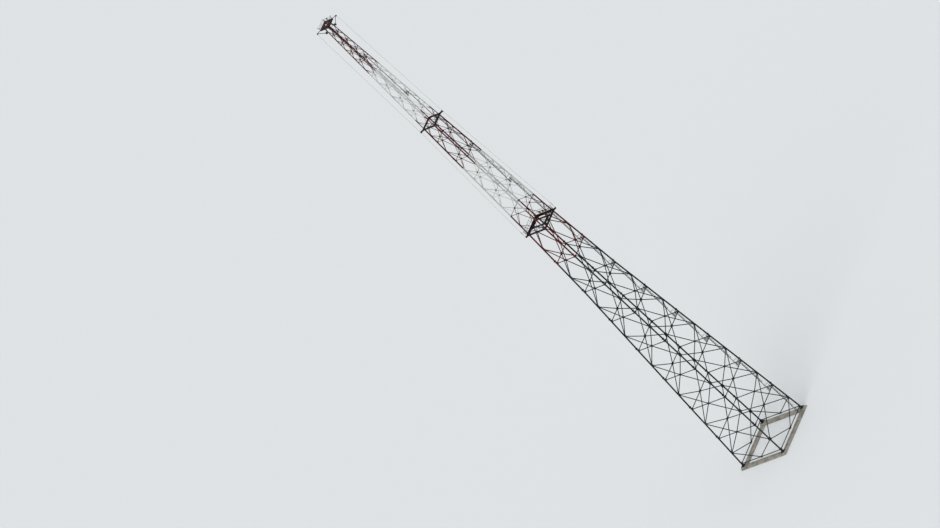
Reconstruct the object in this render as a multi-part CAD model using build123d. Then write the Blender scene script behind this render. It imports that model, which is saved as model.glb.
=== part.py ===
"""Free-standing lattice radio mast, as a 1:10 model: four battered tube legs, cross-braced sides,
a working platform at half height, a collar ring above it and a square head deck with four arms.

Frame: +Z up, the origin under the middle of the square ground beam. The sides face +-X and +-Y.
The climbing ladder stands in the corner of the legs at +X +Y, called north_east here.
"""

import math
import os

from build123d import *

# Heights: how many bracing panels each stretch has, and how high one panel is
LOWER_PANELS = 8
KNEE_PANELS = 6
MIDDLE_PANELS = 5
UPPER_PANELS = 6
TOP_PANELS = 4
LOWER_PITCH = 818.0
MIDDLE_PITCH = 532.0
UPPER_PITCH = 378.0
TOP_PITCH = 252.0

# Half the distance between the centre lines of two neighbouring legs
GROUND_HALF = 554.0
KNEE_HALF = 285.0
PLATFORM_HALF = 224.0
HEAD_HALF = 56.5

# Square ground beam, plinths on its corners and base shoes
GROUND_BEAM_WIDTH = 130.0
GROUND_BEAM_HEIGHT = 20.0
PLINTH_SIDE = 130.0
PLINTH_TOP_SIDE = 100.0
PLINTH_HEIGHT = 35.0
SHOE_SIDE = 84.0
SHOE_PLATE = 6.0
SHOE_WALL = 5.0
SHOE_HEIGHT = 34.0
SHOE_RIB = 5.0

# Diameter of the legs in the lower, middle and upper lengths. They are tubes filled with concrete,
# drawn as solid bars with flat sides.
LOWER_LEG = 30.0
MIDDLE_LEG = 26.0
UPPER_LEG = 16.0
LEG_SIDES = 12

# Bracing: bar width, bar thickness and width of the gusset plate where the bars meet
LOWER_BAR, LOWER_BAR_WALL, LOWER_GUSSET = 17.0, 9.0, 64.0
MIDDLE_BAR, MIDDLE_BAR_WALL, MIDDLE_GUSSET = 10.0, 6.0, 44.0
UPPER_BAR, UPPER_BAR_WALL, UPPER_GUSSET = 7.5, 5.0, 32.0
BASE_TIE_RISE = 50.0
KNEE_LAP = 1.0

# Working platform
PLATFORM_BEAM_WIDTH = 12.0
PLATFORM_BEAM_DEPTH = 34.0
JOIST_WIDTH = 10.0
JOIST_DEPTH = 17.0
JOIST_SPACING = 210.0
PLATFORM_ARM_REACH = 400.0
WALKWAY_WIDTH = 82.0
WALKWAY_LENGTH = 250.0

# Collar ring
COLLAR_BEAM_WIDTH = 10.0
COLLAR_BEAM_DEPTH = 34.0
COLLAR_ARM_REACH = 292.0
COLLAR_BRACE_OUT = 122.0
COLLAR_BRACE_WIDTH = 8.0
COLLAR_BRACE_DEPTH = 11.0

# Head deck and its four arms
DECK_HALF = 116.0
DECK_PLATE = 5.0
HATCH_SIDE = 62.0
DECK_BEAM_WIDTH = 8.0
DECK_BEAM_DEPTH = 22.0
HEAD_ARM_REACH = 256.0
HEAD_ARM_DEPTH = 9.0
HEAD_BRACKET_REACH = 122.0
HEAD_BRACKET_DROP = 126.0
HEAD_STRUT_DEPTH = 11.0
ARM_WIDTH = 9.0

# Handrails: that on the platform, and a low one round the head deck
PLATFORM_RAIL_HEIGHT = 100.0
PLATFORM_RAIL_TUBE = 5.5
PLATFORM_POSTS = 6
DECK_RAIL_HEIGHT = 50.0
DECK_RAIL_TUBE = 4.0
DECK_POSTS = 3
RAIL_POST_INSET = 18.0

# Obstruction lamps on two corners of the head's handrail
LAMP_DIAMETER = 13.0
LAMP_HEIGHT = 18.0
LAMP_BASE_DIAMETER = 9.0
LAMP_BASE = 5.0
LAMP_SIDES = 8

# Ladders and their landings: how many panels each flight climbs below the last one, which ends at the head
FLIGHT_PANELS = LOWER_PANELS * (1,) + (2, 2, 2, 2, 3)
LADDER_SETBACK = 50.0
LADDER_WIDTH = 45.0
STILE = 4.0
RUNG = 2.4
RUNG_PITCH = 150.0
LADDER_START = 30.0
HANDHOLD = 60.0
LANDING_PLATE = 3.0
LANDING_LIP = 12.0

# Cage wires, and the insulators and links between them and the platform's arms
WIRE_DIAMETER = 3.0
WIRE_SIDES = 6
WIRE_INSET = 6.0
INSULATOR_LENGTH = 75.0
INSULATOR_DIAMETER = 15.0
INSULATOR_END = 7.0
INSULATOR_END_DIAMETER = 8.0
INSULATOR_SIDES = 8
LINK_LENGTH = 60.0
LINK_DIAMETER = 5.0
LINK_SIDES = 6

# Running room between pieces that are bolted together but drawn apart
JOINT_GAP = 0.4


def heights():
    """Heights of all ring levels, from the ground up, adding one panel pitch after another."""
    levels = [0.0]
    for panels, pitch in (
        (LOWER_PANELS, LOWER_PITCH),
        (MIDDLE_PANELS, MIDDLE_PITCH),
        (UPPER_PANELS, UPPER_PITCH),
        (TOP_PANELS, TOP_PITCH),
    ):
        for _ in range(panels):
            levels.append(levels[-1] + pitch)
    return levels


RINGS = heights()
KNEE = RINGS[KNEE_PANELS]
PLATFORM = RINGS[LOWER_PANELS]
COLLAR_RING = LOWER_PANELS + MIDDLE_PANELS + 1
COLLAR = RINGS[COLLAR_RING]
HEAD_RING = len(RINGS) - 1
HEAD = RINGS[HEAD_RING]
PLINTH_TOP = GROUND_BEAM_HEIGHT + PLINTH_HEIGHT
LEG_START = PLINTH_TOP + SHOE_PLATE


def half_width(height):
    """Half the distance between the legs' centre lines: straight from ground to knee to platform to head."""
    stations = ((0.0, GROUND_HALF), (KNEE, KNEE_HALF), (PLATFORM, PLATFORM_HALF), (HEAD, HEAD_HALF))
    for (low, low_half), (high, high_half) in zip(stations, stations[1:]):
        if height <= high or high == HEAD:
            return low_half + (high_half - low_half) * (height - low) / (high - low)


# distance of a leg's centre from the mast's middle lines, where it stands on its shoe
LEG_CENTRE = half_width(LEG_START)


def slanted(outline, start, end):
    """A flat outline at the height of start, carried in a straight line from start to end."""
    path = Vector(*end) - Vector(*start)
    return extrude(outline, amount=path.length, dir=path)


def along_leg(diameter, low, high):
    """A bar with flat sides on the centre line of the north-east leg, between two heights."""
    start, end = half_width(low), half_width(high)
    outline = Pos(start, start, low) * RegularPolygon(diameter / 2, LEG_SIDES)
    return slanted(outline, (start, start, low), (end, end, high))


def side_plane(low, high):
    """The plane through the centre lines of the two +X legs, between two heights."""
    lean = Vector(half_width(high) - half_width(low), 0, high - low)
    return Plane(origin=(half_width(low), 0, low), x_dir=(0, 1, 0), z_dir=Vector(0, 1, 0).cross(lean))


def strip(start, end, width):
    """A straight bar in the plane of a side, from one point to another."""
    run = end - start
    middle = (start + end) * 0.5
    turn = math.degrees(math.atan2(run.Y, run.X))
    return Pos(middle.X, middle.Y) * Rot(0, 0, turn) * Rectangle(run.length, width)


def bracing(low, high, rings, bar, thickness, gusset, leg, lap=0.0):
    """The bars of the +X side between two heights: at each ring a level bar with a gusset plate in
    its middle, and from that plate a bar to each leg, half a panel up and half a panel down, where
    the bars of two panels meet. They stop short of the legs, whose diameter is given. The lap
    carries the bars past the upper height.
    """
    slope = math.hypot(high - low, half_width(high) - half_width(low)) / (high - low)

    def at(height, across):
        return Vector(across, (height - low) * slope)

    inset = leg / 2 + JOINT_GAP
    edge = Polygon(
        at(low, inset - half_width(low)),
        at(low, half_width(low) - inset),
        at(high + lap, half_width(high) - inset),
        at(high + lap, inset - half_width(high)),
        align=None,
    )
    shape = Sketch()
    for index in rings:
        level = RINGS[index] if index else LEG_START + BASE_TIE_RISE
        centre = at(level, 0)
        ends = [at(level, half_width(level))]
        if index < HEAD_RING:
            node = (RINGS[index] + RINGS[index + 1]) / 2
            ends += [at(node, half_width(node) - leg / 2), at(node, leg / 2 - half_width(node))]
        ends.append(at(level, -half_width(level)))
        if index:
            node = (RINGS[index - 1] + RINGS[index]) / 2
            ends += [at(node, leg / 2 - half_width(node)), at(node, half_width(node) - leg / 2)]
        for end in ends:
            shape += strip(centre, end, bar)
        corners = [centre + (end - centre).normalized() * (gusset / 2) for end in ends]
        shape += Polygon(*corners, align=None)
    shape = shape & edge
    return extrude(side_plane(low, high) * shape, amount=thickness / 2, both=True)


def around(piece, quarter):
    """The piece of the +X side or the north-east corner, turned to one of the four quarters."""
    return Rot(0, 0, 90 * quarter) * piece


def square(half):
    """A square round the mast's centre line, given by half its width."""
    return Rectangle(2 * half, 2 * half)


def square_ring(outer_half, width, low, high):
    """A level ring of four beams, given by the half width over its outside."""
    ring = square(outer_half) - square(outer_half - width)
    return extrude(Pos(0, 0, low) * ring, amount=high - low)


def diagonal_bar(start, end, width, low, high):
    """A level bar along the north-east diagonal, between two distances from the mast's centre line."""
    bar = Pos((start + end) / 2, 0, (low + high) / 2) * Box(end - start, width, high - low)
    return Rot(0, 0, 45) * bar


def rail(half, low, height, foot, posts, tube):
    """A handrail round a square deck, as one flat panel outside each edge: two level tubes on posts
    whose feet reach down over the edge beam. Each panel ends against the next one's face.
    """
    top = low + height
    spacing = (2 * half - 2 * RAIL_POST_INSET) / (posts - 1)
    outline = Sketch()
    for level in (top, low + height / 2):
        outline += Pos(tube / 2, level - tube / 2) * Rectangle(2 * half + tube, tube)
    for post in range(posts):
        place = RAIL_POST_INSET - half + post * spacing
        outline += Pos(place, (top + foot) / 2) * Rectangle(tube, top - foot)
    plane = Plane(origin=(half, 0, 0), x_dir=(0, 1, 0), z_dir=(1, 0, 0))
    panel = extrude(plane * outline, amount=tube)
    return Compound(children=[around(panel, quarter) for quarter in range(4)])


def corner_band(near, far, half, low, thickness):
    """A level band across the north-east corner, between two distances along its diagonal, cut to a
    square of that half width. The uncut band is longer than the square's diagonal.
    """
    band = Rot(0, 0, 45) * Pos((near + far) / 2, 0) * Rectangle(far - near, 4 * half)
    return extrude(Pos(0, 0, low) * (band & square(half)), amount=thickness)


def flights():
    """The ladder flights, as first ring, last ring and distance from the mast's centre line. Each is
    set back from the leg's centre line at its top, and the last one rises into the deck's hatch.
    """
    stops = [0]
    for panels in FLIGHT_PANELS:
        stops.append(stops[-1] + panels)
    runs = []
    for first, last in zip(stops, stops[1:]):
        runs.append((first, last, half_width(RINGS[last]) * math.sqrt(2) - LADDER_SETBACK))
    hatch = (HATCH_SIDE / 2 - JOINT_GAP) * math.sqrt(2) - STILE - LADDER_WIDTH / 2
    runs.append((stops[-1], HEAD_RING, hatch))
    return runs


def ladder_flight(low, high, place):
    """One upright flight: two square stiles with square rungs let in between them."""
    outline = Sketch()
    for side in (-1, 1):
        stile = Pos(side * (LADDER_WIDTH - STILE) / 2, (low + high) / 2)
        outline += stile * Rectangle(STILE, high - low)
    count = int((high - low) / RUNG_PITCH)
    for rung in range(count):
        outline += Pos(0, low + (rung + 0.5) * (high - low) / count) * Rectangle(LADDER_WIDTH - STILE, RUNG)
    upright = Plane(origin=(place, 0, 0), x_dir=(0, 1, 0), z_dir=(1, 0, 0))
    return Rot(0, 0, 45) * extrude(upright * outline, amount=STILE)


def inside_bars(height):
    """Half the clear width between the bars of two sides at a height, taking the bars as round."""
    bar = LOWER_BAR if height <= PLATFORM else MIDDLE_BAR if height <= COLLAR else UPPER_BAR
    return half_width(height) - bar / 2 - JOINT_GAP


def landing(ring, above, below):
    """The plate that the flight above stands on and the flight below passes in front of."""
    return corner_band(
        above - LANDING_LIP, below, inside_bars(RINGS[ring]), RINGS[ring] - LANDING_PLATE / 2, LANDING_PLATE
    )


def plinth():
    """A square concrete plinth with battered sides, under the north-east leg."""
    batter = math.degrees(math.atan((PLINTH_SIDE - PLINTH_TOP_SIDE) / 2 / PLINTH_HEIGHT))
    bottom = Pos(LEG_CENTRE, LEG_CENTRE, GROUND_BEAM_HEIGHT) * Rectangle(PLINTH_SIDE, PLINTH_SIDE)
    return extrude(bottom, amount=PLINTH_HEIGHT, taper=batter)


def shoe():
    """The shoe of the north-east leg: a base plate, a socket round the leg, and four ribs that taper up
    the socket along the plate's middle lines.
    """
    bore = LOWER_LEG + 2 * JOINT_GAP
    socket = along_leg(bore + 2 * SHOE_WALL, LEG_START, LEG_START + SHOE_HEIGHT)
    shape = Pos(LEG_CENTRE, LEG_CENTRE, PLINTH_TOP + SHOE_PLATE / 2) * Box(SHOE_SIDE, SHOE_SIDE, SHOE_PLATE)
    shape += socket - along_leg(bore, LEG_START, LEG_START + SHOE_HEIGHT)
    root = bore / 2 + SHOE_WALL / 2
    upright = Plane(origin=(0, 0, 0), x_dir=(1, 0, 0), z_dir=(0, -1, 0))
    outline = Polygon((root, 0), (SHOE_SIDE / 2, 0), (root, SHOE_HEIGHT), align=None)
    rib = extrude(upright * outline, amount=SHOE_RIB / 2, both=True)
    for quarter in range(4):
        shape += Pos(LEG_CENTRE, LEG_CENTRE, LEG_START) * around(rib, quarter)
    return shape


def head_arm():
    """An arm on the north-east diagonal: a level bar under the deck, a short level bracket on the leg
    below it, and a strut between their ends.
    """
    outline = Sketch()
    for top, reach in ((HEAD, HEAD_ARM_REACH), (HEAD - HEAD_BRACKET_DROP, HEAD_BRACKET_REACH)):
        root = half_width(top - HEAD_ARM_DEPTH) * math.sqrt(2) + UPPER_LEG / 2 + JOINT_GAP
        bar = Pos((root + reach) / 2, top - HEAD_ARM_DEPTH / 2)
        outline += bar * Rectangle(reach - root, HEAD_ARM_DEPTH)
    high, low = HEAD - HEAD_ARM_DEPTH, HEAD - HEAD_BRACKET_DROP
    tip = HEAD_ARM_REACH - 2 * WIRE_INSET
    outline += Polygon(
        (tip, high), (tip - HEAD_STRUT_DEPTH, high),
        (HEAD_BRACKET_REACH - HEAD_STRUT_DEPTH, low), (HEAD_BRACKET_REACH, low),
        align=None,
    )
    upright = Plane(origin=(0, 0, 0), x_dir=(1, 0, 0), z_dir=(0, -1, 0))
    return Rot(0, 0, 45) * extrude(upright * outline, amount=ARM_WIDTH / 2, both=True)


def wire(top, bottom):
    """A taut wire in the north-east corner, from one (distance, height) to another below it."""
    outline = Pos(top[0], 0, top[1]) * RegularPolygon(WIRE_DIAMETER / 2, WIRE_SIDES)
    return Rot(0, 0, 45) * slanted(outline, (top[0], 0, top[1]), (bottom[0], 0, bottom[1]))


def prism(diameter, sides, low, high):
    """An upright round bar drawn with flat sides, centred on the vertical axis."""
    return extrude(Pos(0, 0, low) * RegularPolygon(diameter / 2, sides), amount=high - low)


def insulator(place, low):
    """A link that stands on the arm, and on it a rod insulator: a barrel between two end fittings."""
    top = LINK_LENGTH + INSULATOR_LENGTH
    body = prism(LINK_DIAMETER, LINK_SIDES, 0, LINK_LENGTH)
    body += prism(INSULATOR_END_DIAMETER, INSULATOR_SIDES, LINK_LENGTH, top)
    body += prism(INSULATOR_DIAMETER, INSULATOR_SIDES, LINK_LENGTH + INSULATOR_END, top - INSULATOR_END)
    return Rot(0, 0, 45) * Pos(place, 0, low) * body


def lamp(low):
    """An obstruction lamp on its base, over the north-east corner of the head's handrail."""
    place = DECK_HALF + DECK_RAIL_TUBE / 2
    body = prism(LAMP_BASE_DIAMETER, LAMP_SIDES, 0, LAMP_BASE)
    body += prism(LAMP_DIAMETER, LAMP_SIDES, LAMP_BASE, LAMP_HEIGHT)
    return Pos(place, place, low) * body


CORNERS = ("north_east", "north_west", "south_west", "south_east")
SIDES = ("east", "north", "west", "south")
nodes = {}

# Ground beam, and a plinth, a shoe and three lengths of leg at every corner
nodes["ground_beam"] = square_ring(
    LEG_CENTRE + PLINTH_SIDE / 2, GROUND_BEAM_WIDTH, 0, GROUND_BEAM_HEIGHT
)
lower_leg = along_leg(LOWER_LEG, LEG_START, KNEE) + along_leg(LOWER_LEG, KNEE, PLATFORM)
middle_leg = along_leg(MIDDLE_LEG, PLATFORM, COLLAR)
upper_leg = along_leg(UPPER_LEG, COLLAR, HEAD)
for quarter, corner in enumerate(CORNERS):
    nodes[f"plinth_{corner}"] = around(plinth(), quarter)
    nodes[f"base_shoe_{corner}"] = around(shoe(), quarter)
    nodes[f"lower_leg_{corner}"] = around(lower_leg, quarter)
    nodes[f"middle_leg_{corner}"] = around(middle_leg, quarter)
    nodes[f"upper_leg_{corner}"] = around(upper_leg, quarter)

# Bracing, one lattice for each side of each length
lower_side = bracing(
    LEG_START, KNEE, range(KNEE_PANELS + 1),
    LOWER_BAR, LOWER_BAR_WALL, LOWER_GUSSET, LOWER_LEG, KNEE_LAP,
)
lower_side += bracing(
    KNEE, PLATFORM, range(KNEE_PANELS, LOWER_PANELS + 1),
    LOWER_BAR, LOWER_BAR_WALL, LOWER_GUSSET, LOWER_LEG,
)
middle_side = bracing(
    PLATFORM + JOINT_GAP, COLLAR - JOINT_GAP, range(LOWER_PANELS, COLLAR_RING + 1),
    MIDDLE_BAR, MIDDLE_BAR_WALL, MIDDLE_GUSSET, MIDDLE_LEG,
)
upper_side = bracing(
    COLLAR + JOINT_GAP, HEAD - JOINT_GAP, range(COLLAR_RING, HEAD_RING + 1),
    UPPER_BAR, UPPER_BAR_WALL, UPPER_GUSSET, UPPER_LEG,
)
for quarter, side in enumerate(SIDES):
    nodes[f"lower_bracing_{side}"] = around(lower_side, quarter)
    nodes[f"middle_bracing_{side}"] = around(middle_side, quarter)
    nodes[f"upper_bracing_{side}"] = around(upper_side, quarter)

# Working platform: ring beams outside the legs, two joists that lie on the bracing and four corner arms
platform_top = PLATFORM + LOWER_BAR / 2 + JOINT_GAP + JOIST_DEPTH
platform_low = platform_top - PLATFORM_BEAM_DEPTH
platform_half = half_width(platform_low) + LOWER_LEG / 2 + JOINT_GAP + PLATFORM_BEAM_WIDTH
platform = square_ring(platform_half, PLATFORM_BEAM_WIDTH, platform_low, platform_top)
for side in (-1, 1):
    joist = Box(2 * platform_half - PLATFORM_BEAM_WIDTH, JOIST_WIDTH, JOIST_DEPTH)
    platform += Pos(0, side * JOIST_SPACING / 2, platform_top - JOIST_DEPTH / 2) * joist
for quarter in range(4):
    root = (platform_half - PLATFORM_BEAM_WIDTH) * math.sqrt(2) + ARM_WIDTH
    arm = diagonal_bar(root, PLATFORM_ARM_REACH, ARM_WIDTH, platform_low, platform_top)
    platform += around(arm, quarter)
nodes["platform_frame"] = platform

walkway = Pos(inside_bars(PLATFORM) - WALKWAY_WIDTH / 2, 0, platform_top + LANDING_PLATE / 2)
walkway = walkway * Box(WALKWAY_WIDTH, WALKWAY_LENGTH, LANDING_PLATE)
nodes["platform_walkways"] = walkway + around(walkway, 2)
nodes["platform_rail"] = rail(
    platform_half, platform_top, PLATFORM_RAIL_HEIGHT, platform_low, PLATFORM_POSTS, PLATFORM_RAIL_TUBE
)

# Collar ring with its four corner arms, and beams across the corners that lie on the bracing
collar_top = COLLAR + UPPER_BAR / 2 + JOINT_GAP + COLLAR_BRACE_DEPTH
collar_low = collar_top - COLLAR_BEAM_DEPTH
collar_half = half_width(collar_low) + MIDDLE_LEG / 2 + JOINT_GAP + COLLAR_BEAM_WIDTH
collar = square_ring(collar_half, COLLAR_BEAM_WIDTH, collar_low, collar_top)
for quarter in range(4):
    root = (collar_half - COLLAR_BEAM_WIDTH) * math.sqrt(2) + ARM_WIDTH
    collar += around(diagonal_bar(root, COLLAR_ARM_REACH, ARM_WIDTH, collar_low, collar_top), quarter)
    # the beam across the corner is let into the middle of the two ring beams
    brace = corner_band(
        COLLAR_BRACE_OUT, COLLAR_BRACE_OUT + COLLAR_BRACE_WIDTH,
        collar_half - COLLAR_BEAM_WIDTH / 2, collar_top - COLLAR_BRACE_DEPTH, COLLAR_BRACE_DEPTH,
    )
    collar += around(brace, quarter)
nodes["collar_ring"] = collar

# Head: deck plate with its hatch on edge beams, arms under the deck's corners, and a handrail
deck = square(DECK_HALF) - square(HATCH_SIDE / 2)
nodes["head_deck"] = extrude(Pos(0, 0, HEAD) * deck, amount=DECK_PLATE)
beams = square_ring(DECK_HALF, DECK_BEAM_WIDTH, HEAD - DECK_BEAM_DEPTH, HEAD)
for quarter in range(4):
    beams += around(head_arm(), quarter)
nodes["head_arms"] = beams
deck_top = HEAD + DECK_PLATE
nodes["head_rail"] = rail(
    DECK_HALF, deck_top, DECK_RAIL_HEIGHT, HEAD - DECK_BEAM_DEPTH, DECK_POSTS, DECK_RAIL_TUBE
)
lamps = [around(lamp(deck_top + DECK_RAIL_HEIGHT), quarter) for quarter in (0, 2)]
nodes["obstruction_lamps"] = Compound(children=lamps)

# Ladders, one node for each length of the mast, and the landings between their flights
runs = flights()
for name, lowest, highest in (
    ("ladder_lower", 0, LOWER_PANELS),
    ("ladder_middle", LOWER_PANELS, COLLAR_RING),
    ("ladder_upper", COLLAR_RING, HEAD_RING),
):
    pieces = []
    for first, last, place in runs:
        if lowest < last <= highest:
            start = RINGS[first] + LANDING_PLATE / 2 if first else LADDER_START
            pieces.append(ladder_flight(start, RINGS[last] + HANDHOLD, place))
    nodes[name] = Compound(children=pieces)
landings = [landing(below[1], above[2], below[2]) for below, above in zip(runs, runs[1:])]
nodes["ladder_landings"] = Compound(children=landings)

# Cage wires from the head arms past the collar arms to the insulators on the platform arms
head_point = HEAD_ARM_REACH - WIRE_INSET
collar_point = COLLAR_ARM_REACH - WIRE_INSET
platform_point = PLATFORM_ARM_REACH - INSULATOR_DIAMETER / 2
insulator_top = platform_top + LINK_LENGTH + INSULATOR_LENGTH
upper_wires, lower_wires, insulators = [], [], []
for quarter in range(4):
    upper_wires.append(around(wire((head_point, HEAD - HEAD_ARM_DEPTH), (collar_point, collar_top)), quarter))
    lower_wires.append(around(wire((collar_point, collar_low), (platform_point, insulator_top)), quarter))
    insulators.append(around(insulator(platform_point, platform_top), quarter))
nodes["upper_cage_wires"] = Compound(children=upper_wires)
nodes["lower_cage_wires"] = Compound(children=lower_wires)
nodes["wire_insulators"] = Compound(children=insulators)

os.makedirs("parts", exist_ok=True)
for name, piece in nodes.items():
    export_step(piece, f"parts/{name}.step")
print(len(nodes), "nodes, head deck at", HEAD)
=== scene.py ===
"""Looks of the radio mast: paint, joints, gratings, ladders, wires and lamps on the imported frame.

Lengths are in metres, on the 1:10 model. The mast stands on z = 0 and its sides face +-X and +-Y.
"""

import math

import bpy
import numpy as np
from mathutils import Matrix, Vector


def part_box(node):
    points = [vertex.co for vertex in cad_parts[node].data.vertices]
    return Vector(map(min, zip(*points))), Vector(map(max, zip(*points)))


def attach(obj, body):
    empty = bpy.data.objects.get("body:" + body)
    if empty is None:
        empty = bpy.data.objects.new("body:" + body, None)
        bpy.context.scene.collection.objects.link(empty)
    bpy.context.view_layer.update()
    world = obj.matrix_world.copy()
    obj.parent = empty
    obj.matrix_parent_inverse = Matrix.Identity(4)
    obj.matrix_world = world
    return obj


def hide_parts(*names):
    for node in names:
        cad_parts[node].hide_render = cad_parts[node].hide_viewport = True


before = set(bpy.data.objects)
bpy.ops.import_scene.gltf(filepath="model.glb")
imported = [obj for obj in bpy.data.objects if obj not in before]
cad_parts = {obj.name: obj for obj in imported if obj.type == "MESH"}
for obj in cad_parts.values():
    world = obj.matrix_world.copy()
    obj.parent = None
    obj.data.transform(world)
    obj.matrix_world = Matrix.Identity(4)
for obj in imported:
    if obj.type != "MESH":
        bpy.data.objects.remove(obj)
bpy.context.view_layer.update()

# Camera: the photograph's long view of the mast. It looks down on the platform by 24 degrees and is rolled,
# so that the upright mast lies across the picture as the leaning one does in the photograph.
PICTURE_WIDTH = 940
PICTURE_CENTRE_PIXEL = (470.0, 264.0)
MAST_MIDDLE_PIXEL = (552.1, 232.9)
MAST_MIDDLE = (0, 0, 6.24)
METRES_PER_PIXEL = 0.018667
CAMERA_DISTANCE = 350.0
VIEW_AZIMUTH = math.radians(50.6)
VIEW_ELEVATION = math.radians(24.0)
VIEW_ROLL = math.radians(47.39)


def linked(name, data):
    """A new object of the data, linked into the scene."""
    made = bpy.data.objects.new(name, data)
    bpy.context.scene.collection.objects.link(made)
    return made


lens = bpy.data.cameras.new("camera")
lens.sensor_width = 36.0
lens.lens = lens.sensor_width * CAMERA_DISTANCE / (PICTURE_WIDTH * METRES_PER_PIXEL)
lens.clip_start = 1.0
lens.clip_end = 2000.0
camera = linked("camera", lens)
# The camera is swung round to the azimuth, tipped to the elevation and rolled, and then stands back and aside
turn = (Matrix.Rotation(VIEW_AZIMUTH, 4, "Z") @ Matrix.Rotation(math.pi / 2 - VIEW_ELEVATION, 4, "X")
        @ Matrix.Rotation(-VIEW_ROLL, 4, "Z"))
left = (PICTURE_CENTRE_PIXEL[0] - MAST_MIDDLE_PIXEL[0]) * METRES_PER_PIXEL
below = (MAST_MIDDLE_PIXEL[1] - PICTURE_CENTRE_PIXEL[1]) * METRES_PER_PIXEL
stand = Matrix.Translation((left, below, CAMERA_DISTANCE))
camera.matrix_world = Matrix.Translation(MAST_MIDDLE) @ turn @ stand
bpy.context.scene.camera = camera


# Floor and light: a wide pale floor under a soft high sun and an even white sky. The background seen by the
# camera, in reflections and through glass, is the floor's own pale tone. From below, the floor isn't seen.
def linear(hex_colour):
    """An sRGB hex colour as linear red, green, blue and alpha."""
    srgb = np.array([int(hex_colour[i:i + 2], 16) for i in (1, 3, 5)]) / 255.0
    rgb = np.where(srgb <= 0.04045, srgb / 12.92, ((srgb + 0.055) / 1.055) ** 2.4)
    return (*rgb.tolist(), 1.0)


def add(tree, kind, inputs=None, stops=(), **settings):
    """Adds one shader node. Inputs are plain values, output sockets to link from, or nodes, whose first
    output is linked. Stops are a colour ramp's places and hex colours, and settings are the node's
    attributes.
    """
    node = tree.nodes.new("ShaderNode" + kind)
    for key, value in settings.items():
        setattr(node, key, value)
    for number, (at, hex_colour) in enumerate(stops):
        ramp = node.color_ramp.elements
        stop = ramp[number] if number < 2 else ramp.new(at)
        stop.position, stop.color = at, linear(hex_colour)
    for key, value in (inputs or {}).items():
        if isinstance(value, bpy.types.Node):
            value = value.outputs[0]
        if isinstance(value, bpy.types.NodeSocket):
            tree.links.new(value, node.inputs[key])
        else:
            node.inputs[key].default_value = value
    return node


def material(name):
    """A new material, as (material, its node tree, the socket of Object coordinates in it)."""
    made = bpy.data.materials.new(name)
    made.use_nodes = True
    tree = made.node_tree
    tree.nodes.clear()
    return made, tree, add(tree, "TexCoord").outputs["Object"]


FLOOR_TONE = linear("#E0E4E6")
FLOOR_RADIUS = 900.0
SUN_STRENGTH = 1.5
SUN_SPREAD = math.radians(30)
SUN_TURN = (math.radians(38), 0, math.radians(20))
SKY_STRENGTH = 0.6
SQUARE = np.array([(1, -1, 0), (1, 1, 0), (-1, 1, 0), (-1, -1, 0)], float)

floor_paint, tree, _ = material("floor_pale")
shader = add(tree, "BsdfPrincipled", {"Base Color": FLOOR_TONE, "Roughness": 0.9})
facing = add(tree, "NewGeometry").outputs["Backfacing"]
one_sided = add(tree, "MixShader", {0: facing, 1: shader, 2: add(tree, "BsdfTransparent")})
add(tree, "OutputMaterial", {"Surface": one_sided})

floor_mesh = bpy.data.meshes.new("floor")
floor_mesh.from_pydata((FLOOR_RADIUS * SQUARE).tolist(), [], [(0, 1, 2, 3)])
floor_mesh.materials.append(floor_paint)
linked("floor", floor_mesh)

sun = bpy.data.lights.new("sun", "SUN")
sun.energy = SUN_STRENGTH
sun.angle = SUN_SPREAD
linked("sun", sun).rotation_euler = SUN_TURN

world = bpy.data.worlds.new("sky")
bpy.context.scene.world = world
world.use_nodes = True
tree = world.node_tree
tree.nodes.clear()
rays = add(tree, "LightPath").outputs
glossy, through = rays["Is Glossy Ray"], rays["Is Transmission Ray"]
mirrored = add(tree, "Math", {0: glossy, 1: through}, operation="MAXIMUM")
seen = add(tree, "Math", {0: rays["Is Camera Ray"], 1: mirrored}, operation="MAXIMUM")
even = add(tree, "Background", {"Color": (1, 1, 1, 1), "Strength": SKY_STRENGTH})
pale = add(tree, "Background", {"Color": FLOOR_TONE, "Strength": 1.0})
add(tree, "OutputWorld", {"Surface": add(tree, "MixShader", {0: seen, 1: even, 2: pale})})
bpy.context.scene.view_settings.view_transform = "Standard"


# Concrete foot: a square ground beam and four battered plinths, cast against boards in place, with their
# top edges struck off at a slant. It carries the steel, and stands on the ground all round.
CORNERS = ("north_east", "north_west", "south_west", "south_east")
# Directions of the +X side, which is laid out first: out of it, across it and up
OUT, ACROSS, UP = np.eye(3)
BEAM_CHAMFER = 0.004
PLINTH_CHAMFER = 0.003
PLINTH_BATTER = 0.015
SMOOTH_ANGLE = math.radians(40)


def piece(name, grids, finish, slot, *replaced):
    """One mesh object of closed solids, with a finish. The slot is not used. Each grid is solids by stations
    by
    points round a station: quads join neighbouring stations, and one face closes each end. The piece rides on
    the mast and stands for the nodes replaced. Faces that meet at less than SMOOTH_ANGLE are shaded as one.
    """
    points, faces, count = [], [], 0
    for grid in grids:
        index = count + np.arange(grid.size // 3).reshape(grid.shape[:-1])
        after = np.roll(index, -1, axis=2)
        quads = np.stack((index[:, :-1], after[:, :-1], after[:, 1:], index[:, 1:]), axis=-1)
        faces += quads.reshape(-1, 4).tolist() + index[:, 0, ::-1].tolist() + index[:, -1].tolist()
        points.append(grid.reshape(-1, 3))
        count += index.size
    mesh = bpy.data.meshes.new(name)
    mesh.from_pydata(np.concatenate(points).tolist(), [], faces)
    mesh.polygons.foreach_set("use_smooth", np.ones(len(faces), bool))
    mesh.set_sharp_from_angle(angle=SMOOTH_ANGLE)
    mesh.materials.append(finish)
    made = linked(name, mesh)
    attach(made, "root")
    if replaced:
        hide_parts(*replaced)


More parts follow.
